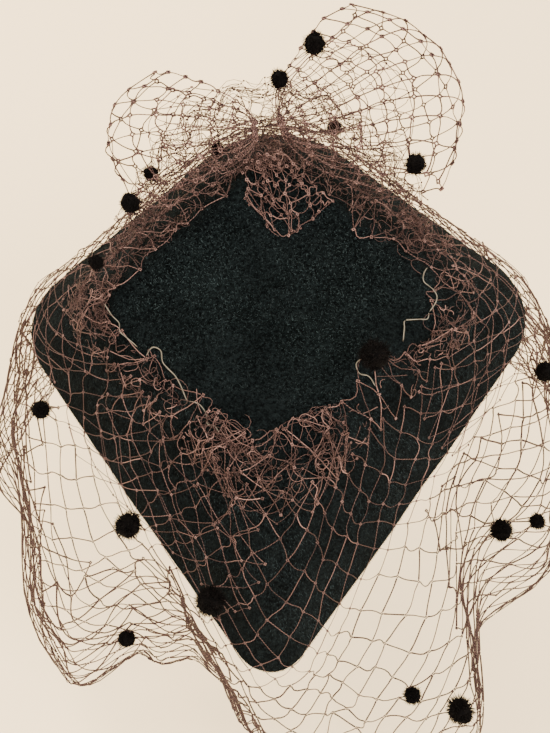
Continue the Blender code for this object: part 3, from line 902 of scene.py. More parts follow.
@dataclass
class FeltCrown:
    """The blocked felt: one shell, open below, with a pile of fine hairs on it."""

    form: HatForm
    roll_steps: int = 12
    wall_steps: int = 26
    ridge_steps: int = 9
    tip_steps: int = 16
    edge_arc: tuple[float, float] = (-90.0, 40.0)
    ridge_arc: tuple[float, float] = (48.0, 90.0)
    innermost: float = 0.02
    ripple: float = 0.00035
    lump: float = 0.016
    small_lump: float = 0.005
    pile_hairs: int = 170000
    pile_length: float = 0.0011
    pile_width: float = 0.00013
    pile_sunk: float = 0.0001
    pile_lift: float = 0.55
    pile_ruffle: float = 0.7
    pile_cloud: float = 0.014
    brushing: tuple[float, float, float] = (0.35, -1.0, -0.35)

    def rings(self) -> Array:
        """The outer shell as rings of points: lip, turned edge, wall, ridge and dished tip.

        Returns:
            Rings by points by 3.
        """
        s = self.form.sizes
        rows = [(0.0, s.rim_roll + s.rim_lip, 0.0, 0.0)]
        for angle in np.radians(np.linspace(*self.edge_arc, self.roll_steps)):
            rows.append((0.0, s.rim_roll * (1 - math.cos(angle)), 0.0, s.rim_roll * (1 + math.sin(angle))))
        ridge = []
        for angle in np.radians(np.linspace(*self.ridge_arc, self.ridge_steps)):
            inset, fall = s.ridge_roll * (1 - math.cos(angle)), s.ridge_roll * (1 - math.sin(angle))
            ridge.append((1.0, inset, 1.0, -fall))
        wall = []
        for share in np.linspace(0, 1, self.wall_steps + 1)[1:-1]:
            at = [a + (b - a) * share for a, b in zip(rows[-1], ridge[0])]
            wall.append((at[0], at[1] - s.wall_belly * 4 * share * (1 - share), at[2], at[3]))
        rings = [self.form.ring(*row) for row in rows + wall + ridge]
        crest = rings[-1]
        for share in np.linspace(1, self.innermost, self.tip_steps)[1:]:
            inner = crest * (share, share, 1.0)
            inner[:, 2] = s.crown_height - s.tip_dish * (1 - share ** 2)
            rings.append(inner)
        return np.array(rings)

    def outer(self) -> tuple[Array, Array]:
        """The rings with faint lumps and ripples along their normals.

        Returns:
            The rings and their normals.
        """
        rings = self.rings()
        normals = self.normals(rings)
        lumps = waves(rings, self.lump, 3) * 0.6 + waves(rings, self.small_lump, 4) * 0.3
        return rings + normals * (lumps * self.ripple)[..., None], normals

    @staticmethod
    def normals(rings: Array) -> Array:
        """Unit normals of a grid of rings: slope round crossed with slope up."""
        round_it = np.roll(rings, -1, axis=1) - np.roll(rings, 1, axis=1)
        return unit(np.cross(round_it, np.gradient(rings, axis=0)))

    def shell(self) -> bpy.types.Object:
        """The closed shell, its wall given by Solidify.

        Returns:
            The piece.
        """
        rings, _ = self.outer()
        levels, count = rings.shape[:2]
        level, i = np.meshgrid(np.arange(levels - 1), np.arange(count), indexing="ij")
        j = (i + 1) % count
        low, high = level * count, (level + 1) * count
        quads = np.stack([low + i, low + j, high + j, high + i], -1).reshape(-1, 4)
        top = (levels - 1) * count
        i = np.arange(count)
        middle = rings[-1].mean(axis=0)
        triangles = np.column_stack([top + i, top + (i + 1) % count, np.full(count, levels * count)])
        arrays = MeshArrays.unmapped(np.vstack([rings.reshape(-1, 3), middle]), quads, triangles)
        made = arrays.build("felt_crown", self.form, FeltFinish().material())
        wall = made.modifiers.new("felt", "SOLIDIFY")
        wall.thickness = self.form.sizes.felt
        wall.offset = -1.0
        wall.use_even_offset = True
        return finish_piece(made, ["felt_body"])

    def pile(self) -> bpy.types.Object:
        """Loose hairs all over the outside, brushed one way, lifted a little and ruffled at random.

        They are spread evenly by the area of the shell's cells. Their tones are random, mostly dark,
        and clouded: paler in patches, and paler towards the back as a painted highlight of the light
        that the back of the felt catches.

        Returns:
            The piece.
        """
        rings, normals = self.outer()
        rng = np.random.default_rng(11)
        low, high = rings[:-1], rings[1:]
        areas = np.linalg.norm(np.cross(np.roll(low, -1, axis=1) - low, high - low), axis=-1).ravel()
        cells = rng.choice(len(areas), self.pile_hairs, p=areas / areas.sum())
        level, i = np.unravel_index(cells, low.shape[:2])
        j = (i + 1) % rings.shape[1]
        a, b = rng.random((2, self.pile_hairs, 1))
        roots = (rings[level, i] * (1 - a) + rings[level, j] * a) * (1 - b)
        roots = roots + (rings[level + 1, i] * (1 - a) + rings[level + 1, j] * a) * b
        normal = normals[level, i]
        brushed = np.array(self.brushing) + rng.normal(0, self.pile_ruffle, (self.pile_hairs, 3))
        flat = unit(brushed - normal * (brushed * normal).sum(-1, keepdims=True))
        ways = unit(normal * self.pile_lift + flat * rng.uniform(0.5, 1.2, (self.pile_hairs, 1)))
        length = (self.pile_length * rng.uniform(0.55, 1.35, self.pile_hairs))[:, None]
        side = unit(np.cross(ways, normal + flat * 0.3)) * self.pile_width / 2
        roots = roots - normal * self.pile_sunk
        points = np.stack([roots - side, roots + side, roots + ways * length], axis=1).reshape(-1, 3)
        # Painted highlight: hairs grow paler towards the back, where the felt catches the light.
        behind = smooth_step(roots[:, 1] / 0.06 + 0.4)
        cloud = 0.75 + 0.5 * waves(roots, self.pile_cloud, 5) + 0.7 * behind
        tones = np.clip(rng.random(self.pile_hairs) ** 4.5 * cloud, 0, 1)
        triangles = np.arange(len(points)).reshape(-1, 3)
        arrays = MeshArrays.unmapped(points, np.zeros((0, 4), int), triangles, np.repeat(tones, 3))
        return finish_piece(arrays.build("felt_pile", self.form, PileFinish().material()))

    def build(self) -> None:
        """Makes the shell and its pile."""
        self.shell()
        self.pile()


# The net.

@dataclass
class NetPatch:
    """A piece of knotted net laid on a surface of two shares.

    A diamond net has its knots in staggered rows, each tied to the two below it. A square one has
    them in line, each tied to the next across and the next below. A thread is as long as edge;
    where its knots come closer than that, the spare length bows out in an arc.

    Knots stray at random across, down and off the surface, where even lets them stray to both sides,
    and drift in waves of a given height and length. Those near a star are drawn together to it. Slack
    is the share of the spare length that shows, and bow_out how far it leaves the surface. Where
    hanging says 1, threads are thicker, and darker as painted shade of net that is not lit from above
    as it is on the felt. Thinned says what share of the threads there is.
    """

    surface: Surface
    columns: int
    rows: int
    closed: bool = False
    square: bool = False
    inside_out: bool = False
    span: tuple[float, float] = (0.0, 1.0)
    depth: tuple[float, float] = (0.0, 1.0)
    edge: float = 0.0105
    stray: tuple[float, float, float] = (0.0008, 0.0008, 0.0004)
    drift: tuple[float, float] = (0.0, 0.050)
    lift: float = 0.0
    slack: float = 1.0
    bow_out: float = 0.5
    even: float = 0.0
    least_row: float = 0.60
    stars: Sequence[tuple[float, float]] = ()
    star_reach: float = 0.011
    star_pull: float = 0.8
    thinned: Callable[[Array], Array] | None = None
    tone: tuple[float, float] = (0.45, 0.20)
    hanging: Surface | None = None
    hanging_painted_shade: float = 0.85
    hanging_thick: float = 0.80
    swerve: float = 0.014
    thickness: float = 1.0
    selvage: bool = False
    seed: int = 1

    @property
    def across(self) -> int:
        """Steps from one side of the lattice to the other."""
        return self.columns * (1 if self.square else 2)

    def lattice(self) -> Array:
        """Numbers the knots.

        Returns:
            Each knot's number across and down.
        """
        wide = self.across + (0 if self.closed else 1)
        j, i = np.meshgrid(np.arange(self.rows + 1), np.arange(wide), indexing="ij")
        here = np.full(i.shape, True) if self.square else (i + j) % 2 == 0
        return np.column_stack([i[here], j[here]])

    def row_shares(self) -> Array:
        """Each row's share down the surface.

        A diamond row's height is the leg of a right triangle whose long side is a thread and whose
        other leg is half the spacing of the columns there, so that rows draw closer as the net
        widens, down to the share least_row of a thread. Square rows are evenly spaced.

        Returns:
            A share for each row of knots.
        """
        first = np.linspace(*self.span, 97)
        second = np.linspace(*self.depth, 41)
        grid = self.surface(first[:, None], second[None, :])
        wide = np.linalg.norm(np.diff(grid, axis=0), axis=-1).sum(axis=0) / self.across
        step = np.linalg.norm(np.diff(grid, axis=1), axis=-1).mean(axis=0)
        high = np.sqrt(np.clip(self.edge ** 2 - wide ** 2, (self.least_row * self.edge) ** 2, None))
        high = np.full_like(high, self.edge) if self.square else high
        run = np.append(0.0, np.cumsum(step / ((high[1:] + high[:-1]) / 2)))
        return np.interp(np.linspace(0, run[-1], self.rows + 1), run, second)

    def shares(self, index: Array) -> tuple[Array, Array]:
        """The surface's two shares at knots, by their numbers."""
        first = self.span[0] + (self.span[1] - self.span[0]) * index[:, 0] / self.across
        return first, self.row_shares()[index[:, 1]]

    def knots(self, index: Array) -> tuple[Array, Array, Array]:
        """The knots' places, and there the surface's normals and the way across.

        Args:
            index: The knots' numbers across and down.

        Returns:
            Three arrays of 3 columns.
        """
        first, second = self.shares(index)
        rng = np.random.default_rng(self.seed)
        places = self.surface(first, second)
        normal = surface_normals(self.surface, first, second) * (-1 if self.inside_out else 1)
        along = self.surface(first + SLOPE_STEP, second) - self.surface(first - SLOPE_STEP, second)
        along = unit(along)
        down = np.cross(normal, along)
        far, over = self.drift
        stray = rng.normal(size=(len(places), 3)) * self.stray
        aside = stray[:, :1] + far * waves(places, over, self.seed)[:, None]
        lower = stray[:, 1:2] + far * waves(places, over, self.seed + 1)[:, None]
        rise = self.lift + np.abs(stray[:, 2:3]) + stray[:, 2:3] * self.even
        places = places + along * aside + down * lower + normal * rise
        if self.stars:
            around, at = np.array(self.stars).T
            middles = self.surface(around, at)
            off = np.linalg.norm(places[:, None] - middles[None], axis=-1)
            nearest = middles[off.argmin(axis=1)]
            share = self.star_pull * np.exp(-(off.min(axis=1) / self.star_reach) ** 4)
            flat = (nearest - places) - normal * ((nearest - places) * normal).sum(-1, keepdims=True)
            places = places + flat * share[:, None]
        return places, normal, along

    def threads(self, index: Array) -> tuple[Array, Array]:
        """Which knots each thread ties.

        Args:
            index: The knots' numbers across and down.

        Returns:
            The places in index of each thread's first and last knot.
        """
        wide = self.across + (0 if self.closed else 1)
        grid = np.full((self.rows + 1, wide), -1)
        grid[index[:, 1], index[:, 0]] = np.arange(len(index))
        starts, ends = [], []
        for aside, below in ((1, 0), (0, 1)) if self.square else ((-1, 1), (1, 1)):
            i, j = index[:, 0] + aside, index[:, 1] + below
            fits = j <= self.rows
            if self.closed:
                i = i % wide
            else:
                fits &= (i >= 0) & (i < wide)
            starts.append(np.flatnonzero(fits))
            ends.append(grid[j[fits], i[fits]])
        if self.selvage:
            last = np.flatnonzero(index[:, 1] == self.rows)
            starts.append(last if self.closed else last[:-1])
            ends.append(np.roll(last, -1) if self.closed else last[1:])
        return np.concatenate(starts), np.concatenate(ends)

    def swell(self, index: Array, starts: Array, ends: Array, t: Array) -> Array:
        """How far the surface stands off the straight line between two knots, at shares t of it.

        Args:
            index: The knots' numbers across and down.
            starts: The knot each thread starts from.
            ends: The knot it runs to.
            t: Shares along it.

        Returns:
            Threads by shares by 3.
        """
        first, second = self.shares(index)
        step = first[ends] - first[starts]
        if self.closed:
            step = signed(step)
        around = first[starts][:, None] + step[:, None] * t
        down = second[starts][:, None] + (second[ends] - second[starts])[:, None] * t
        curve = self.surface(around, down)
        return curve - curve[:, :1] * (1 - t)[:, None] - curve[:, -1:] * t[:, None]

    def below(self, index: Array) -> Array:
        """How far knots are into the hanging part, from 0 to 1."""
        return np.zeros(len(index)) if self.hanging is None else self.hanging(*self.shares(index))

    def paths(self, places: Array, normal: Array, index: Array, trim: float) -> tuple[Array, ...]:
        """The threads as curves, with a guide, a tone and a thickness for each.

        A thread runs from knot to knot as a parabola whose rise is the root of 3/8 of its length
        times its spare length, plus a slight S along it.

        Args:
            places: The knots' places.
            normal: The surface's normals there.
            index: The knots' numbers.
            trim: How far from a knot's middle a thread begins.

        Returns:
            Paths, guides, tones, and thicknesses as shares of the usual one.
        """
        starts, ends = self.threads(index)
        rng = np.random.default_rng(self.seed + 500)
        if self.thinned is not None:
            share = self.thinned(self.shares(index)[0][starts])
            kept = rng.random(len(starts)) < share
            starts, ends = starts[kept], ends[kept]
        a, b = places[starts], places[ends]
        n = unit(normal[starts] + normal[ends])
        inset = unit(b - a) * np.minimum(trim, np.linalg.norm(b - a, axis=-1, keepdims=True) * 0.3)
        a, b = a + inset, b - inset
        gap = b - a
        apart = np.linalg.norm(gap, axis=-1, keepdims=True)
        spare = np.clip(self.edge - 2 * trim - apart, 0.0001, None)
        rise = np.sqrt(0.375 * self.edge * spare) * rng.uniform(0.3, 1.0, apart.shape) * self.slack
        across = unit(np.cross(gap, n))
        way = n * self.bow_out * np.abs(rng.normal(size=apart.shape))
        way = unit(way + across * rng.normal(size=apart.shape))
        t = np.array([0.0, 0.02, 0.25, 0.5, 0.75, 0.98, 1.0])
        swell = self.swell(index, starts, ends, t)
        t = t[None, :, None]
        bend = way[:, None] * (rise[:, None] * 4 * t * (1 - t)) + swell
        aside = (rng.normal(0, self.swerve, apart.shape) * self.edge)[:, None]
        swerve = across[:, None] * aside * np.sin(TURN * t)
        below = self.below(index)[starts]
        # Painted shade: threads of the hanging net are darker, since they are not lit from above as on the
        # felt.
        tones = rng.normal(self.tone[0], self.tone[1], len(a)) * (1 - self.hanging_painted_shade * below)
        tones = np.clip(tones, 0, 1)
        thickness = self.thickness * (1 + self.hanging_thick * below) * rng.uniform(0.85, 1.15, len(a))
        guides = unit(n + rng.normal(0, 0.3, n.shape))
        return a[:, None] + gap[:, None] * t + bend + swerve, guides, tones, thickness


def drawn_to(places: Array, pulls: Array, reach: float) -> Array:
    """Knots drawn towards points: the nearest all the way, its neighbours by a bell curve.

    Args:
        places: The knots.
        pulls: The points.
        reach: How far a knot may lie from its point, and the bell's width.

    Returns:
        The knots' new places.
    """
    apart = np.linalg.norm(places[None] - pulls[:, None], axis=-1)
    nearest = apart.argmin(axis=1)
    keep = apart.min(axis=1) < reach
    shift = pulls[keep] - places[nearest[keep]]
    off = np.linalg.norm(places[None] - places[nearest[keep]][:, None], axis=-1)
    return places + (bell(off / reach)[..., None] * shift[:, None]).sum(axis=0)


def knot_rings(
    middles: Array, normals: Array, ways: Array, reach: float, radius: float, tones: Array,
) -> MeshArrays:
    """Woven knots: four-cornered rings of thread, lying in the net.

    Point m of corner k is the middle plus its way times (reach + radius cos m) plus the normal
    times radius sin m.

    Args:
        middles: The knots' middles.
        normals: The net's normals there.
        ways: Knots by 4 corners by 3, the ways to the corners, anticlockwise about the normal.
        reach: From the middle to a corner.
        radius: The thread's radius.
        tones: A value from 0 to 1 for each knot.

    Returns:
        The mesh's arrays.
    """
    count = len(middles)
    angle = np.arange(4) * math.pi / 2
    points = middles[:, None, None] + ways[:, :, None] * (reach + radius * np.cos(angle))[:, None]
    points = points + normals[:, None, None] * (radius * np.sin(angle))[:, None]
    k, m = np.meshgrid(np.arange(4), np.arange(4), indexing="ij")
    k, m = k.ravel(), m.ravel()
    after, over = (k + 1) % 4, (m + 1) % 4
    local = np.column_stack([k * 4 + m, after * 4 + m, after * 4 + over, k * 4 + over])
    quads = (local[None] + np.arange(count)[:, None, None] * 16).reshape(-1, 4)
    along = np.column_stack([k, k + 1, k + 1, k]) * 0.12
    share = np.stack([np.column_stack([m, m, m + 1, m + 1]) / 4, along], -1)
    quad_map = np.broadcast_to(share, (count, *share.shape)).reshape(-1, 4, 2)
    return MeshArrays(points.reshape(-1, 3), quads, np.zeros((0, 3), int), quad_map, np.zeros((0, 3, 2)),
                      {"tone": np.repeat(tones, 16)})


@dataclass
class NetWork:
    """Threads and knots of the net, made up into pieces."""

    form: HatForm
    material: bpy.types.Material
    thread: float = 0.00018
    knot: float = 0.00068
    knot_thread: float = 0.00032
    tie_reach: float = 0.008

    def mesh(self, patches: Sequence[NetPatch], pulls: Array | None = None) -> MeshArrays:
        """All the patches' threads and knots in one mesh.

        Args:
            patches: The pieces of net.
            pulls: Points that the knots nearest to them are drawn to.

        Returns:
            The mesh's arrays.
        """
        made = []
        for patch in patches:
            index = patch.lattice()
            places, normal, along = patch.knots(index)
            if pulls is not None:
                places = drawn_to(places, pulls, self.tie_reach)
            paths, guides, tones, thickness = patch.paths(places, normal, index, self.knot)
            radii = self.thread * thickness[:, None] * np.array([0.5, 1.2, 1.0, 1.0, 1.0, 1.2, 0.5])
            made.append(tubes(paths, guides, radii, tones))
            if patch.thinned is None:
                down = np.cross(normal, along)
                one = along if patch.square else unit(0.6 * along + 0.8 * down)
                two = down if patch.square else unit(-0.6 * along + 0.8 * down)
                below = patch.below(index)
                tones = np.random.default_rng(patch.seed).normal(patch.tone[0] + 0.2, 0.12, len(places))
                # Painted shade: knots of the hanging net are darker, since they are not lit from above as on
                # the felt.
                tones = np.clip(tones * (1 - 0.6 * below), 0, 1)
                ways = np.stack([one, two, -one, -two], axis=1)
                made.append(knot_rings(places, normal, ways, self.knot * patch.thickness,
                                       self.knot_thread * patch.thickness, tones))
        whole = made[0]
        for part in made[1:]:
            whole = whole.joined(part)
        return whole

    def loose(self, paths: Array, tones: Array, radius: float) -> MeshArrays:
        """Loose thread, of even thickness."""
        guides = unit(np.random.default_rng(8).normal(size=(len(paths), 3)))
        return tubes(paths, guides, np.full(paths.shape[:2], radius), tones)

    def piece(self, name: str, arrays: MeshArrays, *nodes: str) -> None:
        """Makes one piece of net from its arrays, which stands for the nodes."""
        finish_piece(arrays.build(name, self.form, self.material), nodes)


@dataclass
class Veil:
    """The net strip over the walls and below the rim."""

    form: HatForm
    work: NetWork
    columns: int = 50
    rows: int = 28
    ripple: float = 0.0040
    ripples: int = 15
    small_ripples: int = 26
    turned_in: float = 0.006
    turned_rumple: float = 0.004
    turned_share: float = 0.97

    def surface(self, around: Array, down: Array) -> Array:
        """The veil's surface with soft folds, which grow from the rim to the hem.

        The folds are two waves round the hat, of uneven length, pushed along the level way out.

        Args:
            around: Shares of the way round.
            down: Shares of the way from the heading to the hem.

        Returns:
            Points in the hat's frame.
        """
        points = self.form.veil(around, down)
        around, down = matched(around, down)
        uneven = around + 0.012 * np.sin(TURN * 3 * around + 0.7)
        uneven = uneven + 0.02 * np.sin(TURN * 2 * around) * down
        small = 0.6 * np.sin(TURN * self.small_ripples * uneven + 3 * down)
        fold = np.sin(TURN * self.ripples * uneven) + small
        out = unit(points * (1.0, 1.0, 0.0))
        return points + out * (fold * self.ripple * smooth_step((down - 0.42) / 0.5))[..., None]

    def inner(self, around: Array, down: Array) -> Array:
        """The turned-back layer inside the hanging veil: the same fall, drawn in and rumpled.

        Args:
            around: Shares of the way round.
            down: Shares of the way from the heading to the turned edge.

        Returns:
            Points in the hat's frame.
        """
        points = self.surface(around, np.asarray(down) * self.turned_share)
        inward = unit(points * (-1.0, -1.0, 0.0))
        depth = self.turned_in + self.turned_rumple * waves(points, 0.030, 71)
        return points + inward * depth[..., None]

    def build(self, dots: Array) -> None:
        """Makes the strip's net with its hem, and its turned-back parts.

        Args:
            dots: Where the dots draw knots to.
        """
        strip = NetPatch(self.surface, self.columns, self.rows, closed=True, inside_out=True,
                         hanging=self.form.past_rim, stray=(0.0009, 0.0008, 0.0004), drift=(0.0032, 0.045),
                         bow_out=0.3, slack=0.45, tone=(0.36, 0.26), thickness=0.80, selvage=True, seed=21)
        hem = NetPatch(self.surface, 92, 2, closed=True, inside_out=True, hanging=self.form.past_rim,
                       depth=(0.975, 1.0), edge=0.0050, stray=(0.0010, 0.0008, 0.0005), bow_out=0.5,
                       slack=0.8, tone=(0.35, 0.2), thickness=0.62, selvage=True, seed=25)
        self.work.piece("net_veil", self.work.mesh([strip, hem], dots), "veil")
        left = NetPatch(self.inner, 12, 13, span=(0.125, 0.330), depth=(0.40, 1.0), inside_out=True,
                        hanging=self.form.past_rim, stray=(0.0018, 0.0018, 0.0010), drift=(0.003, 0.03),
                        slack=0.6, tone=(0.5, 0.2), seed=23)
        right = replace(left, columns=9, rows=9, span=(-0.225, -0.050), depth=(0.58, 1.0),
                        stray=(0.0022, 0.0022, 0.0012), slack=0.8, seed=22)
        side = replace(left, columns=7, rows=6, span=(-0.30, -0.20), depth=(0.38, 0.72), seed=24)
        self.work.piece("net_turned", self.work.mesh([right, left, side]))


# The bunches of curls in the heading: share of the way round, its spread, how many curls, and how
# far up the heading they reach, in metres.
Bunch = tuple[float, float, int, float]
BUNCHES: tuple[Bunch, ...] = (
    (-0.255, 0.016, 90, 0.0045), (-0.025, 0.030, 62, 0.0022), (0.045, 0.016, 24, 0.0020),
    (0.500, 0.010, 70, 0.0115), (-0.170, 0.030, 24, 0.0020),
    (0.225, 0.025, 40, 0.0030), (0.340, 0.035, 30, 0.0028), (0.500, 0.045, 110, 0.0065),
    (0.640, 0.045, 50, 0.0030),
)

# Cut thread ends that lie on the tip's edge, as shares of the tip's reach aside and ahead.
CUT_ENDS = (
    ((-0.985, -0.020), (-0.940, 0.060), (-0.900, 0.110), (-0.895, 0.165), (-0.850, 0.210), (-0.790, 0.270)),
    ((-0.740, 0.330), (-0.700, 0.280), (-0.655, 0.300), (-0.640, 0.380), (-0.560, 0.480), (-0.505, 0.630)),
    ((-0.500, 0.620), (-0.440, 0.640), (-0.400, 0.700), (-0.395, 0.760), (-0.350, 0.780), (-0.330, 0.820)),
    ((0.725, 0.290), (0.735, 0.210), (0.745, 0.155), (0.820, 0.150), (0.870, 0.150), (0.885, 0.105)),
    ((0.885, 0.105), (0.930, 0.030), (0.920, -0.040), (0.865, -0.095), (0.870, -0.150), (0.900, -0.200)),
    ((0.560, 0.560), (0.520, 0.500), (0.470, 0.480), (0.455, 0.420), (0.500, 0.390), (0.530, 0.420)),
)


@dataclass
class Heading:
    """The gathered edge of the net round the ridge, with its tangles and loose ends."""

    form: HatForm
    work: NetWork
    puff: float = 0.0022
    band_lift: float = 0.0009
    band_reach: float = 4.1
    front_reach: float = 1.4
    ruffle_reach: float = 0.029
    ruffle_waves: int = 31
    ruffle_wave: float = 0.0028
    ruffle_rise: float = 0.004
    ruffle_droop: float = 0.010
    doubled_depth: float = 0.30
    doubled_lift: float = 0.0010
    curl_size: tuple[float, float] = (0.0010, 0.0030)
    curl_turn: tuple[float, float] = (4.6, 8.5)
    curl_thread: float = 0.54
    cut_thread: float = 0.00020

    def __post_init__(self) -> None:
        """Works out the felt's lines that the band is stretched over, from the wall to the tip."""
        rows = ((0.80, -0.0020, 0.80, 0.0), (0.88, -0.0014, 0.88, 0.0), (0.95, -0.0006, 0.95, 0.0),
                (1.0, 0.0002, 1.0, -0.0056), (1.0, 0.0023, 1.0, -0.0018), (1.0, 0.0070, 1.0, 0.0),
                (1.0, 0.0105, 1.0, -0.0006))
        self.lines = [self.form.ring(*row) for row in rows]

    def band(self, around: Array, across: Array) -> Array:
        """The band from the wall, over the ridge, to its inner edge, puffed up between its edges.

        It is read off straight lines between the felt's lines. The inner edge wanders, and lies
        further in at the front and on the wearer's left of it.

        Args:
            around: Shares of the way round.
            across: Shares of the way from the band's outer edge to its inner edge.

        Returns:
            Points in the hat's frame.
        """
        around, across = matched(around, across)
        inner = self.band_reach + 0.35 * np.sin(TURN * 9 * around) + 0.25 * np.sin(TURN * 17 * around + 1)
        inner = inner + self.front_reach * bell((signed(around) - 0.03) / 0.06)
        place = np.clip(across * inner, 0, len(self.lines) - 1.001)
        k = place.astype(int)
        lines = np.stack([self.form.read_round(line, around) for line in self.lines])
        rows = np.indices(k.shape)
        low, high = lines[(k, *rows)], lines[(k + 1, *rows)]
        upward = self.form.wall_at(around)[2]
        lift = self.band_lift + self.puff * np.sin(math.pi * np.clip(across, 0, 1))
        return low + (high - low) * (place - k)[..., None] + upward * lift[..., None]

    def ruffle(self, around: Array, out: Array) -> Array:
        """The net that stands off the back of the ridge, as a waved sheet leaning outwards.

        Args:
            around: Shares of the way round.
            out: Shares of the way from the heading to the sheet's free edge.

        Returns:
            Points in the hat's frame.
        """
        around, out = matched(around, out)
        start = self.form.heading(around, np.array(0.12))
        along = self.form.wall_at(around)[1]
        level = unit(along * (1.0, 1.0, 0.0))
        fade = smooth_step((0.20 - np.abs(around - 0.5)) / 0.12)
        reach = self.ruffle_reach * (0.20 + 0.80 * fade) * out
        wave = self.ruffle_wave * np.sin(TURN * self.ruffle_waves * around) * out
        wave = wave + self.ruffle_rise * np.sin(math.pi * out) - self.ruffle_droop * out ** 2
        return start + level * reach[..., None] + self.form.wall_at(around)[2] * wave[..., None]

    def doubled(self, around: Array, down: Array) -> Array:
        """A second layer of net over part of the walls, just off the first."""
        points = self.form.veil(around, np.asarray(down) * self.doubled_depth)
        return points + self.form.wall_at(around)[2] * self.doubled_lift

    @staticmethod
    def fullness(around: Array) -> Array:
        """How much of the band's net is there: thin on the front walls, full at the corners.

        Args:
            around: Shares of the way round.

        Returns:
            Shares of the threads.
        """
        off = signed(around)
        full = 0.14 - 0.10 * bell(off / 0.055) + 0.70 * bell((off + 0.255) / 0.025)
        full = full + 0.35 * bell((off - 0.235) / 0.04) + 0.55 * smooth_step((np.abs(off) - 0.30) / 0.06)
        return np.clip(full, 0, 1)

    def curls(self) -> MeshArrays:
        """Small open loops of thread: arcs of uneven circles on tilted planes, over the band.

        Returns:
            The mesh's arrays.
        """
        rng = np.random.default_rng(61)
        around, rise = [], []
        for middle, spread, count, high in BUNCHES:
            around.append(rng.normal(middle, spread, count))
            rise.append(rng.uniform(0, high, count))
        around, rise = np.concatenate(around), np.concatenate(rise)
        count = len(around)
        across = rng.uniform(0.15, 0.98, count)
        middles = self.band(around, across)
        normal = surface_normals(self.band, around, across)
        one = unit(np.cross(normal, rng.normal(size=(count, 3))))
        two = unit(np.cross(normal, one) + normal * rng.uniform(0.0, 0.9, (count, 1)))
        size = rng.uniform(*self.curl_size, count)
        turn = rng.uniform(*self.curl_turn, count)
        angle = np.linspace(0, 1, 17)[None] * turn[:, None]
        wide = (size[:, None] * (1 + 0.35 * np.sin(angle * 1.7 + size[:, None] * 900)))[..., None]
        circle = np.cos(angle)[..., None] * one[:, None] + np.sin(angle)[..., None] * two[:, None]
        paths = (middles + normal * rise[:, None])[:, None] + wide * circle
        along = unit(np.cross(normal, one))
        paths = paths + along[:, None] * (angle * rng.normal(0, 0.0006, (count, 1)))[..., None]
        tones = np.clip(rng.normal(0.28, 0.32, count), 0, 1)
        return self.work.loose(paths, tones, self.work.thread * self.curl_thread)

    def cut_ends(self) -> MeshArrays:
        """Stiff cut ends on the tip's edge: smooth curves through the table's points.

        Returns:
            The mesh's arrays.
        """
        s = self.form.sizes
        shares = np.array(CUT_ENDS)
        t = np.linspace(0, shares.shape[1] - 1, 22)
        k = np.clip(t.astype(int), 0, shares.shape[1] - 2)
        f = (t - k)[None, :, None]
        before = shares[:, np.clip(k - 1, 0, None)]
        start, end = shares[:, k], shares[:, k + 1]
        after = shares[:, np.clip(k + 2, None, shares.shape[1] - 1)]
        curve = start + 0.5 * f * (end - before + f * (2 * before - 5 * start + 4 * end - after
                                                       + f * (3 * (start - end) + after - before)))
        x, y = s.tip_side * curve[..., 0], -s.tip_front * curve[..., 1]
        beyond = np.abs(x) / s.tip_side + np.abs(y) / s.tip_front - 0.90
        z = s.crown_height + 0.0012 - 0.022 * np.clip(beyond, 0, None) ** 1.5 + 0.0006 * np.sin(t * 2.1)
        paths = np.stack([x, y, z], axis=-1)
        return self.work.loose(paths, np.full(len(paths), 0.45), self.cut_thread)

    def build(self, dots: Array) -> None:
        """Makes the heading, the ruffle and the cut ends.

        Args:
            dots: Where the dots draw knots to.
        """
        layers = self.gathered() + self.bunched() + self.doubled_walls()
        heading = self.work.mesh(layers, dots).joined(self.curls())
        self.work.piece("net_heading", heading, "veil_heading")
        self.work.piece("net_ruffle", self.work.mesh(self.ruffles(), dots))
        pale = StrandFinish("cut_thread", rgb(0.10, 0.085, 0.065), rgb(0.36, 0.32, 0.25), 0.7, 2.0).material()
        finish_piece(self.cut_ends().build("net_cut_ends", self.form, pale))

    def gathered(self) -> list[NetPatch]:
        """Three layers of net all round the band.

        Returns:
            The pieces of net.
        """
        return [
            NetPatch(self.band, 50, 6, closed=True, stray=(0.0013, 0.0012, 0.0006), edge=0.0062, bow_out=0.6,
                     slack=0.9, thinned=self.fullness, thickness=0.66, tone=(0.36, 0.30), seed=31),
            NetPatch(self.band, 46, 2, closed=True, stray=(0.0016, 0.0012, 0.0006), edge=0.0105, bow_out=0.4,
                     slack=0.6, thickness=0.78, selvage=True, tone=(0.50, 0.22), seed=32),
            NetPatch(self.band, 42, 5, closed=True, stray=(0.0018, 0.0016, 0.0008), edge=0.0070, bow_out=0.7,
                     slack=0.9, lift=0.0006, thinned=self.fullness, thickness=0.60, tone=(0.28, 0.30),
                     seed=30),
        ]

    def bunched(self) -> list[NetPatch]:
        """Two more layers on the band at the front.

        Returns:
            The pieces of net.
        """
        fine = NetPatch(self.band, 7, 6, span=(-0.088, 0.072), stray=(0.0014, 0.0012, 0.0006), edge=0.0062,
                        bow_out=0.4, slack=0.9, lift=0.0004, thickness=0.56, selvage=True,
                        tone=(0.26, 0.26), seed=29)
        bold = replace(fine, columns=6, rows=5, span=(-0.090, 0.075), stray=(0.0016, 0.0014, 0.0006),
                       edge=0.0076, lift=0.0006, thickness=0.70, tone=(0.50, 0.30), seed=36)
        return [fine, bold]

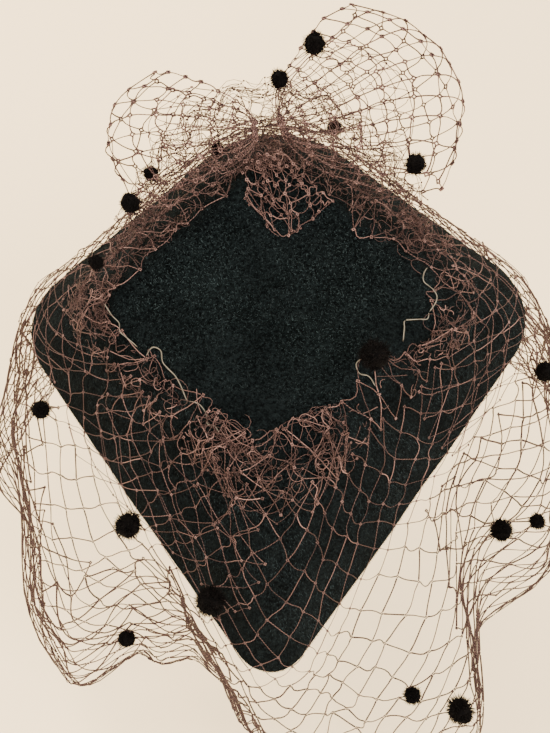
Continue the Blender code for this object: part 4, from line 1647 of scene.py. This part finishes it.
    def doubled_walls(self) -> list[NetPatch]:
        """The second layer of net: the wearer's right front, left, right corner and back.

        Returns:
            The pieces of net.
        """
        right = NetPatch(self.doubled, 6, 9, span=(-0.175, -0.010), inside_out=True, thickness=0.72,
                         stray=(0.0013, 0.0012, 0.0004), drift=(0.003, 0.03), edge=0.0074, bow_out=0.2,
                         slack=0.7, tone=(0.42, 0.28), seed=35, star_reach=0.0075,
                         stars=((-0.140, 0.33), (-0.106, 0.57), (-0.074, 0.25), (-0.084, 0.68),
                                (-0.045, 0.42), (-0.115, 0.15), (-0.030, 0.15)))
        left = replace(right, span=(0.150, 0.320), stray=(0.0012, 0.0010, 0.0005), drift=(0.002, 0.03),
                       edge=0.0064, bow_out=0.3, slack=0.6, tone=(0.42, 0.2), seed=37,
                       stars=((0.235, 0.45), (0.190, 0.50), (0.270, 0.30)))
        corner = NetPatch(self.doubled, 3, 9, span=(-0.290, -0.205), inside_out=True, thickness=0.72,
                          stray=(0.0014, 0.0012, 0.0005), edge=0.0064, bow_out=0.4, slack=0.6,
                          tone=(0.42, 0.2), seed=38)
        back = replace(corner, columns=10, span=(0.370, 0.630), stray=(0.0018, 0.0016, 0.0014),
                       edge=0.0070, bow_out=0.6, slack=0.8, lift=0.001, tone=(0.30, 0.2), seed=39)
        return [right, left, corner, back]

    def ruffles(self) -> list[NetPatch]:
        """Three layers of the net that stands off the back.

        Returns:
            The pieces of net.
        """
        middle = NetPatch(self.ruffle, 24, 7, span=(0.29, 0.71), stray=(0.0014, 0.0012, 0.0012),
                          edge=0.0066, bow_out=0.6, even=1.0, slack=0.6, thickness=0.72, selvage=True,
                          tone=(0.24, 0.18), seed=33)
        above = replace(middle, columns=20, rows=6, span=(0.31, 0.69), stray=(0.0020, 0.0016, 0.0016),
                        edge=0.0072, lift=0.002, thickness=0.66, seed=34)
        below = replace(above, columns=22, span=(0.32, 0.68), lift=-0.003, thickness=0.60, seed=28)
        return [middle, above, below]


@dataclass(frozen=True)
class LoopShape:
    """One loop of the bow: sizes in metres and turns in degrees."""

    node: str
    aside: float
    length: float
    half_wide: float
    half_deep: float
    turn: float
    rise: float
    roll: float
    columns: int
    rows: int
    spread: float = 0.0035
    rounding: float = 0.34
    behind: float = 0.0055
    above: float = 0.0097


@dataclass
class Bow:
    """Two loops of net and a short tab."""

    form: HatForm
    work: NetWork
    loops: tuple[LoopShape, ...] = (
        LoopShape("bow_loop_left", 0.005, 0.0605, 0.0410, 0.0160, 17.0, 0.5, -10.0, 10, 15),
        LoopShape("bow_loop_right", -0.005, 0.0502, 0.0242, 0.0112, 185.0, 4.5, 5.0, 7, 13),
    )
    tab_length: float = 0.025
    tab_half_width: float = 0.0135
    tab_aside: float = 0.006
    tab_lift: float = 0.0010
    tab_rumple: float = 0.0012
    tab_rise: float = 0.0050
    gather_half_width: float = 0.0035
    inner_size: float = 0.72
    layers_apart: float = 0.0013

    def loop_surface(self, loop: LoopShape, size: float = 1.0) -> Surface:
        """A loop's surface, as a function of the shares across and along its strip.

        The strip runs out from the gather by the square of a sine, round the fold and back; its
        width follows that reach, and its depth is a lens.

        Args:
            loop: The loop.
            size: Its size as a share of the usual one.

        Returns:
            The surface.
        """
        s = self.form.sizes
        turn, rise, roll = (math.radians(a) for a in (loop.turn, loop.rise, loop.roll))
        flat = math.cos(rise)
        out = np.array([math.cos(turn) * flat, math.sin(turn) * flat, math.sin(rise)])
        level = unit(np.cross([0.0, 0.0, 1.0], out))
        across = np.array(Matrix.Rotation(roll, 3, tuple(out))) @ level
        deep = np.cross(out, across)
        start = np.array([loop.aside, s.tip_back + loop.behind, s.crown_height + loop.above])

        def surface(side: Array, along: Array) -> Array:
            """The loop's points.

            Args:
                side: Shares of the way across the strip.
                along: Shares of the way along it.

            Returns:
                Points in the hat's frame.
            """
            side, along = matched(np.asarray(side, float) * 2 - 1, along)
            reach = np.sin(math.pi * along) ** 2
            away = loop.length * size * reach * (1 - loop.rounding * np.abs(side) ** 2.2)
            width = (loop.spread + (loop.half_wide * size - loop.spread) * reach ** 0.55) * side
            lens = np.sin(TURN * along) * np.sin(math.pi * along) * (1 - 0.6 * side ** 2)
            depth = loop.half_deep * size * lens + self.layers_apart * np.cos(math.pi * along)
            return start + away[..., None] * out + width[..., None] * across + depth[..., None] * deep

        return surface

    def tab_surface(self, side: Array, along: Array) -> Array:
        """The tab's surface: it leaves the gather over the ridge and settles on the dished tip.

        Args:
            side: Shares of the way across the tab.
            along: Shares of the way from the gather to its end.

        Returns:
            Points in the hat's frame.
        """
        s = self.form.sizes
        side, along = matched(np.asarray(side, float) * 2 - 1, along)
        width = self.gather_half_width + (self.tab_half_width - self.gather_half_width) * np.abs(along) ** 0.6
        x = self.tab_aside * along + width * side
        y = s.tip_back - s.ridge_roll * 0.3 - self.tab_length * along * (1.06 - 0.46 * np.abs(side) ** 1.5)
        rumple = self.tab_rumple * (1 + np.sin(math.pi * 3 * side)) * along
        to_ridge = np.abs(x) / (s.tip_side - s.ridge_roll) + y / (s.tip_back - s.ridge_roll)
        dish = s.tip_dish * (1 - np.minimum(to_ridge, 1) ** 2)
        z = s.crown_height - dish + self.tab_lift + self.tab_rise * (1 - along) ** 2 + rumple
        return np.stack([x, y, z], axis=-1)

    def build(self, dots: Array) -> None:
        """Makes the loops, each with a smaller one inside, and the tab.

        Args:
            dots: Where the dots draw knots to.
        """
        for number, loop in enumerate(self.loops):
            outer = NetPatch(self.loop_surface(loop), loop.columns, loop.rows, square=True, edge=0.0088,
                             bow_out=0.3, even=1.0, stray=(0.0004, 0.0004, 0.0003), drift=(0.0010, 0.03),
                             slack=0.30, thickness=1.15, tone=(0.24, 0.18), seed=41 + number)
            inner = replace(outer, surface=self.loop_surface(loop, self.inner_size),
                            columns=loop.columns - 3, rows=loop.rows - 5, stray=(0.0006, 0.0006, 0.0006),
                            drift=(0.0014, 0.03), thickness=0.72, tone=(0.40, 0.18), seed=45 + number)
            self.work.piece(f"net_{loop.node}", self.work.mesh([outer, inner], dots), loop.node)
        tab = [
            NetPatch(self.tab_surface, 6, 6, square=True, edge=0.0060, bow_out=0.5, slack=0.6, thickness=0.8,
                     stray=(0.0008, 0.0007, 0.0005), tone=(0.50, 0.25), seed=51),
            NetPatch(self.tab_surface, 5, 8, edge=0.0060, bow_out=0.6, stray=(0.0012, 0.0010, 0.0008),
                     lift=0.001, thickness=0.72, slack=0.7, tone=(0.45, 0.25), seed=52),
        ]
        self.work.piece("net_bow_tab", self.work.mesh(tab), "bow_tab")


# The dots.

@dataclass
class ChenilleDots:
    """A tuft of cut chenille at each of the net's ties."""

    form: HatForm
    tufts: int = 1300
    rounds: int = 20
    core: float = 0.72
    core_lumps: float = 0.17
    curliness: float = 0.60
    clumps: float = 0.40
    tie_depth: float = 0.75
    roots: float = 0.58
    tuft_length: tuple[float, float] = (0.28, 0.54)
    tuft_width: float = 0.036

    def __post_init__(self) -> None:
        """Reads each dot's middle and radius from its node's box."""
        self.names = sorted(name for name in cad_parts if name.startswith("dot_"))
        boxes = np.array([[tuple(corner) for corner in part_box(name)] for name in self.names])
        self.middles = boxes.mean(axis=1) @ self.form.to_world
        self.sizes = (boxes[:, 1] - boxes[:, 0]).mean(axis=1) / 2

    def pulls(self) -> Array:
        """Where the net is tied to the dots: a little inside each, on the side towards the hat."""
        inward = unit(np.array([0.0, 0.0, 0.0]) - self.middles)
        return self.middles + inward * (self.sizes * self.tie_depth)[:, None]

    def core_ball(self, radius: float, seed: int) -> MeshArrays:
        """A lumpy ball on a grid of polar angles, its radius changed by noise.

        Args:
            radius: The ball's.
            seed: What the lumps are drawn from.

        Returns:
            The mesh's arrays.
        """
        across = self.rounds
        polar, round_it = np.meshgrid(
            np.linspace(0, math.pi, self.rounds // 2 + 1)[1:-1], np.arange(across) * TURN / across,
            indexing="ij",
        )
        level_out = np.sin(polar)
        ways = np.stack([level_out * np.cos(round_it), level_out * np.sin(round_it), np.cos(polar)], -1)
        ways = np.vstack([ways.reshape(-1, 3), [(0, 0, 1), (0, 0, -1)]])
        points = ways * (radius * (1 + self.core_lumps * waves(ways, 0.50, seed)))[:, None]
        levels = polar.shape[0]
        level, i = np.meshgrid(np.arange(levels - 1), np.arange(across), indexing="ij")
        j = (i + 1) % across
        upper, lower = level * across, (level + 1) * across
        quads = np.stack([upper + i, lower + i, lower + j, upper + j], -1).reshape(-1, 4)
        i = np.arange(across)
        j = (i + 1) % across
        last = (levels - 1) * across
        triangles = np.vstack([
            np.column_stack([np.full(across, len(ways) - 2), i, j]),
            np.column_stack([np.full(across, len(ways) - 1), last + j, last + i]),
        ])
        return MeshArrays.unmapped(points, quads, triangles, np.full(len(points), 0.1))

    def tuft(self, radius: float, seed: int) -> MeshArrays:
        """Short hairs standing out of the ball, uneven in length.

        Args:
            radius: The dot's.
            seed: What the hairs are drawn from.

        Returns:
            The mesh's arrays.
        """
        rng = np.random.default_rng(seed)
        ways = unit(rng.normal(size=(self.tufts, 3)))
        bends = rng.normal(0, self.curliness, ways.shape)
        clump = 1 + self.clumps * waves(ways, 0.42, seed + 1)
        length = radius * (rng.uniform(*self.tuft_length, self.tufts) * clump)
        tones = np.clip(rng.beta(1.2, 3.5, self.tufts), 0, 1)
        return hairs(ways * radius * self.roots, ways, bends, length, radius * self.tuft_width, tones)

    def build(self) -> None:
        """Makes every dot in its node's place."""
        material = ChenilleFinish().material()
        for number, (name, middle, radius) in enumerate(zip(self.names, self.middles, self.sizes)):
            ball = self.core_ball(radius * self.core, 100 + number).joined(self.tuft(radius, 200 + number))
            ball.points = ball.points + middle
            finish_piece(ball.build(f"chenille_{name}", self.form, material), [name])


# The setting.

class Light(Enum):
    """The setting's lamps: place, aim, width, power and colour."""

    KEY = ((-0.75, 0.85, 1.15), (0.0, 0.0, 0.0), 0.9, 46.0, (1.0, 0.90, 0.74))
    FILL = ((1.1, -0.9, 0.9), (0.0, 0.0, -0.05), 1.1, 40.0, (1.0, 0.99, 0.97))
    FRONT = ((-0.3, -1.3, 0.6), (0.0, 0.0, -0.05), 0.9, 12.0, (1.0, 0.97, 0.93))


@dataclass
class Setting:
    """Floor, lamps and the camera at the photograph's angle.

    The camera is given in the hat's frame: the way round from the front, the height angle, the
    distance from a point above the middle, the roll, and how far it is turned aside and down.
    """

    form: HatForm
    azimuth: float = 3.75
    elevation: float = 73.6
    distance: float = 0.229
    target: float = 0.048
    roll: float = -5.36
    aside: float = 5.18
    below: float = -65.0
    focal: float = 680.0
    height: int = 733
    floor_gap: float = 0.012
    floor_reach: float = 3.0
    sky_colour: tuple[float, float, float, float] = (1.0, 0.935, 0.825, 1.0)
    sky_strength: float = 2.3

    def camera(self) -> None:
        """Places the camera: look at the target, turn by the two offsets, then roll."""
        turn, rise, roll = (math.radians(a) for a in (self.azimuth, self.elevation, self.roll))
        flat = math.cos(rise)
        back = np.array([math.sin(turn) * flat, -math.cos(turn) * flat, math.sin(rise)])
        eye = np.array([0.0, 0.0, self.target]) + back * self.distance
        right = unit(np.cross(-back, [0.0, 0.0, 1.0]))
        up = np.cross(right, -back)
        tilt, pan = math.atan2(self.below, self.focal), math.atan2(self.aside, self.focal)
        ahead = -back * math.cos(tilt) + up * math.sin(tilt)
        up = up * math.cos(tilt) + back * math.sin(tilt)
        look = ahead * math.cos(pan) - right * math.sin(pan)
        right = right * math.cos(pan) + ahead * math.sin(pan)
        across = right * math.cos(roll) + up * math.sin(roll)
        upward = up * math.cos(roll) - right * math.sin(roll)
        axes = self.form.world(np.array([across, upward, -look]))
        place = np.eye(4)
        place[:3, :3] = axes.T
        place[:3, 3] = self.form.world(eye)
        lens = bpy.data.cameras.new("camera")
        lens.sensor_fit = "AUTO"
        lens.sensor_width = 36.0
        lens.lens = 36.0 * self.focal / self.height
        lens.clip_start = 0.01
        made = bpy.data.objects.new("camera", lens)
        made.matrix_world = Matrix(place.tolist())
        bpy.context.scene.collection.objects.link(made)
        bpy.context.scene.camera = made

    def lamps(self) -> None:
        """Soft square lamps and a pale sky."""
        for light in Light:
            place, aim, width, power, colour = light.value
            data = bpy.data.lights.new(light.name.lower(), "AREA")
            data.size = width
            data.energy = power
            data.color = colour
            made = bpy.data.objects.new(light.name.lower(), data)
            back = unit(np.array(place) - np.array(aim))
            right = unit(np.cross([0.0, 0.0, 1.0], back))
            axes = np.eye(4)
            axes[:3, :3] = np.column_stack([right, np.cross(back, right), back])
            axes[:3, 3] = place
            made.matrix_world = Matrix(axes.tolist())
            bpy.context.scene.collection.objects.link(made)
        world = bpy.data.worlds.new("sky")
        world.use_nodes = True
        sky = world.node_tree.nodes["Background"]
        sky.inputs[0].default_value = self.sky_colour
        sky.inputs[1].default_value = self.sky_strength
        bpy.context.scene.world = world

    def floor(self) -> None:
        """A wide plain floor under the hem."""
        low = CAD_BOUNDS[0][2] - self.floor_gap
        reach = np.array([(-1, -1), (1, -1), (1, 1), (-1, 1)]) * self.floor_reach
        mesh = bpy.data.meshes.new("floor")
        mesh.from_pydata([(x, y, low) for x, y in reach.tolist()], [], [(0, 1, 2, 3)])
        mesh.materials.append(FloorFinish().material())
        made = bpy.data.objects.new("floor", mesh)
        bpy.context.scene.collection.objects.link(made)

    def build(self) -> None:
        """Makes the setting."""
        self.camera()
        self.lamps()
        self.floor()


def main() -> None:
    """Builds every sub-assembly in order."""
    logging.basicConfig(level=logging.INFO, format="%(name)s: %(message)s")
    form = HatForm()
    Setting(form).build()
    FeltCrown(form).build()
    dots = ChenilleDots(form)
    dots.build()
    work = NetWork(form, StrandFinish().material())
    Veil(form, work).build(dots.pulls())
    Heading(form, work).build(dots.pulls())
    Bow(form, work).build(dots.pulls())


if __name__ == "__main__":
    main()
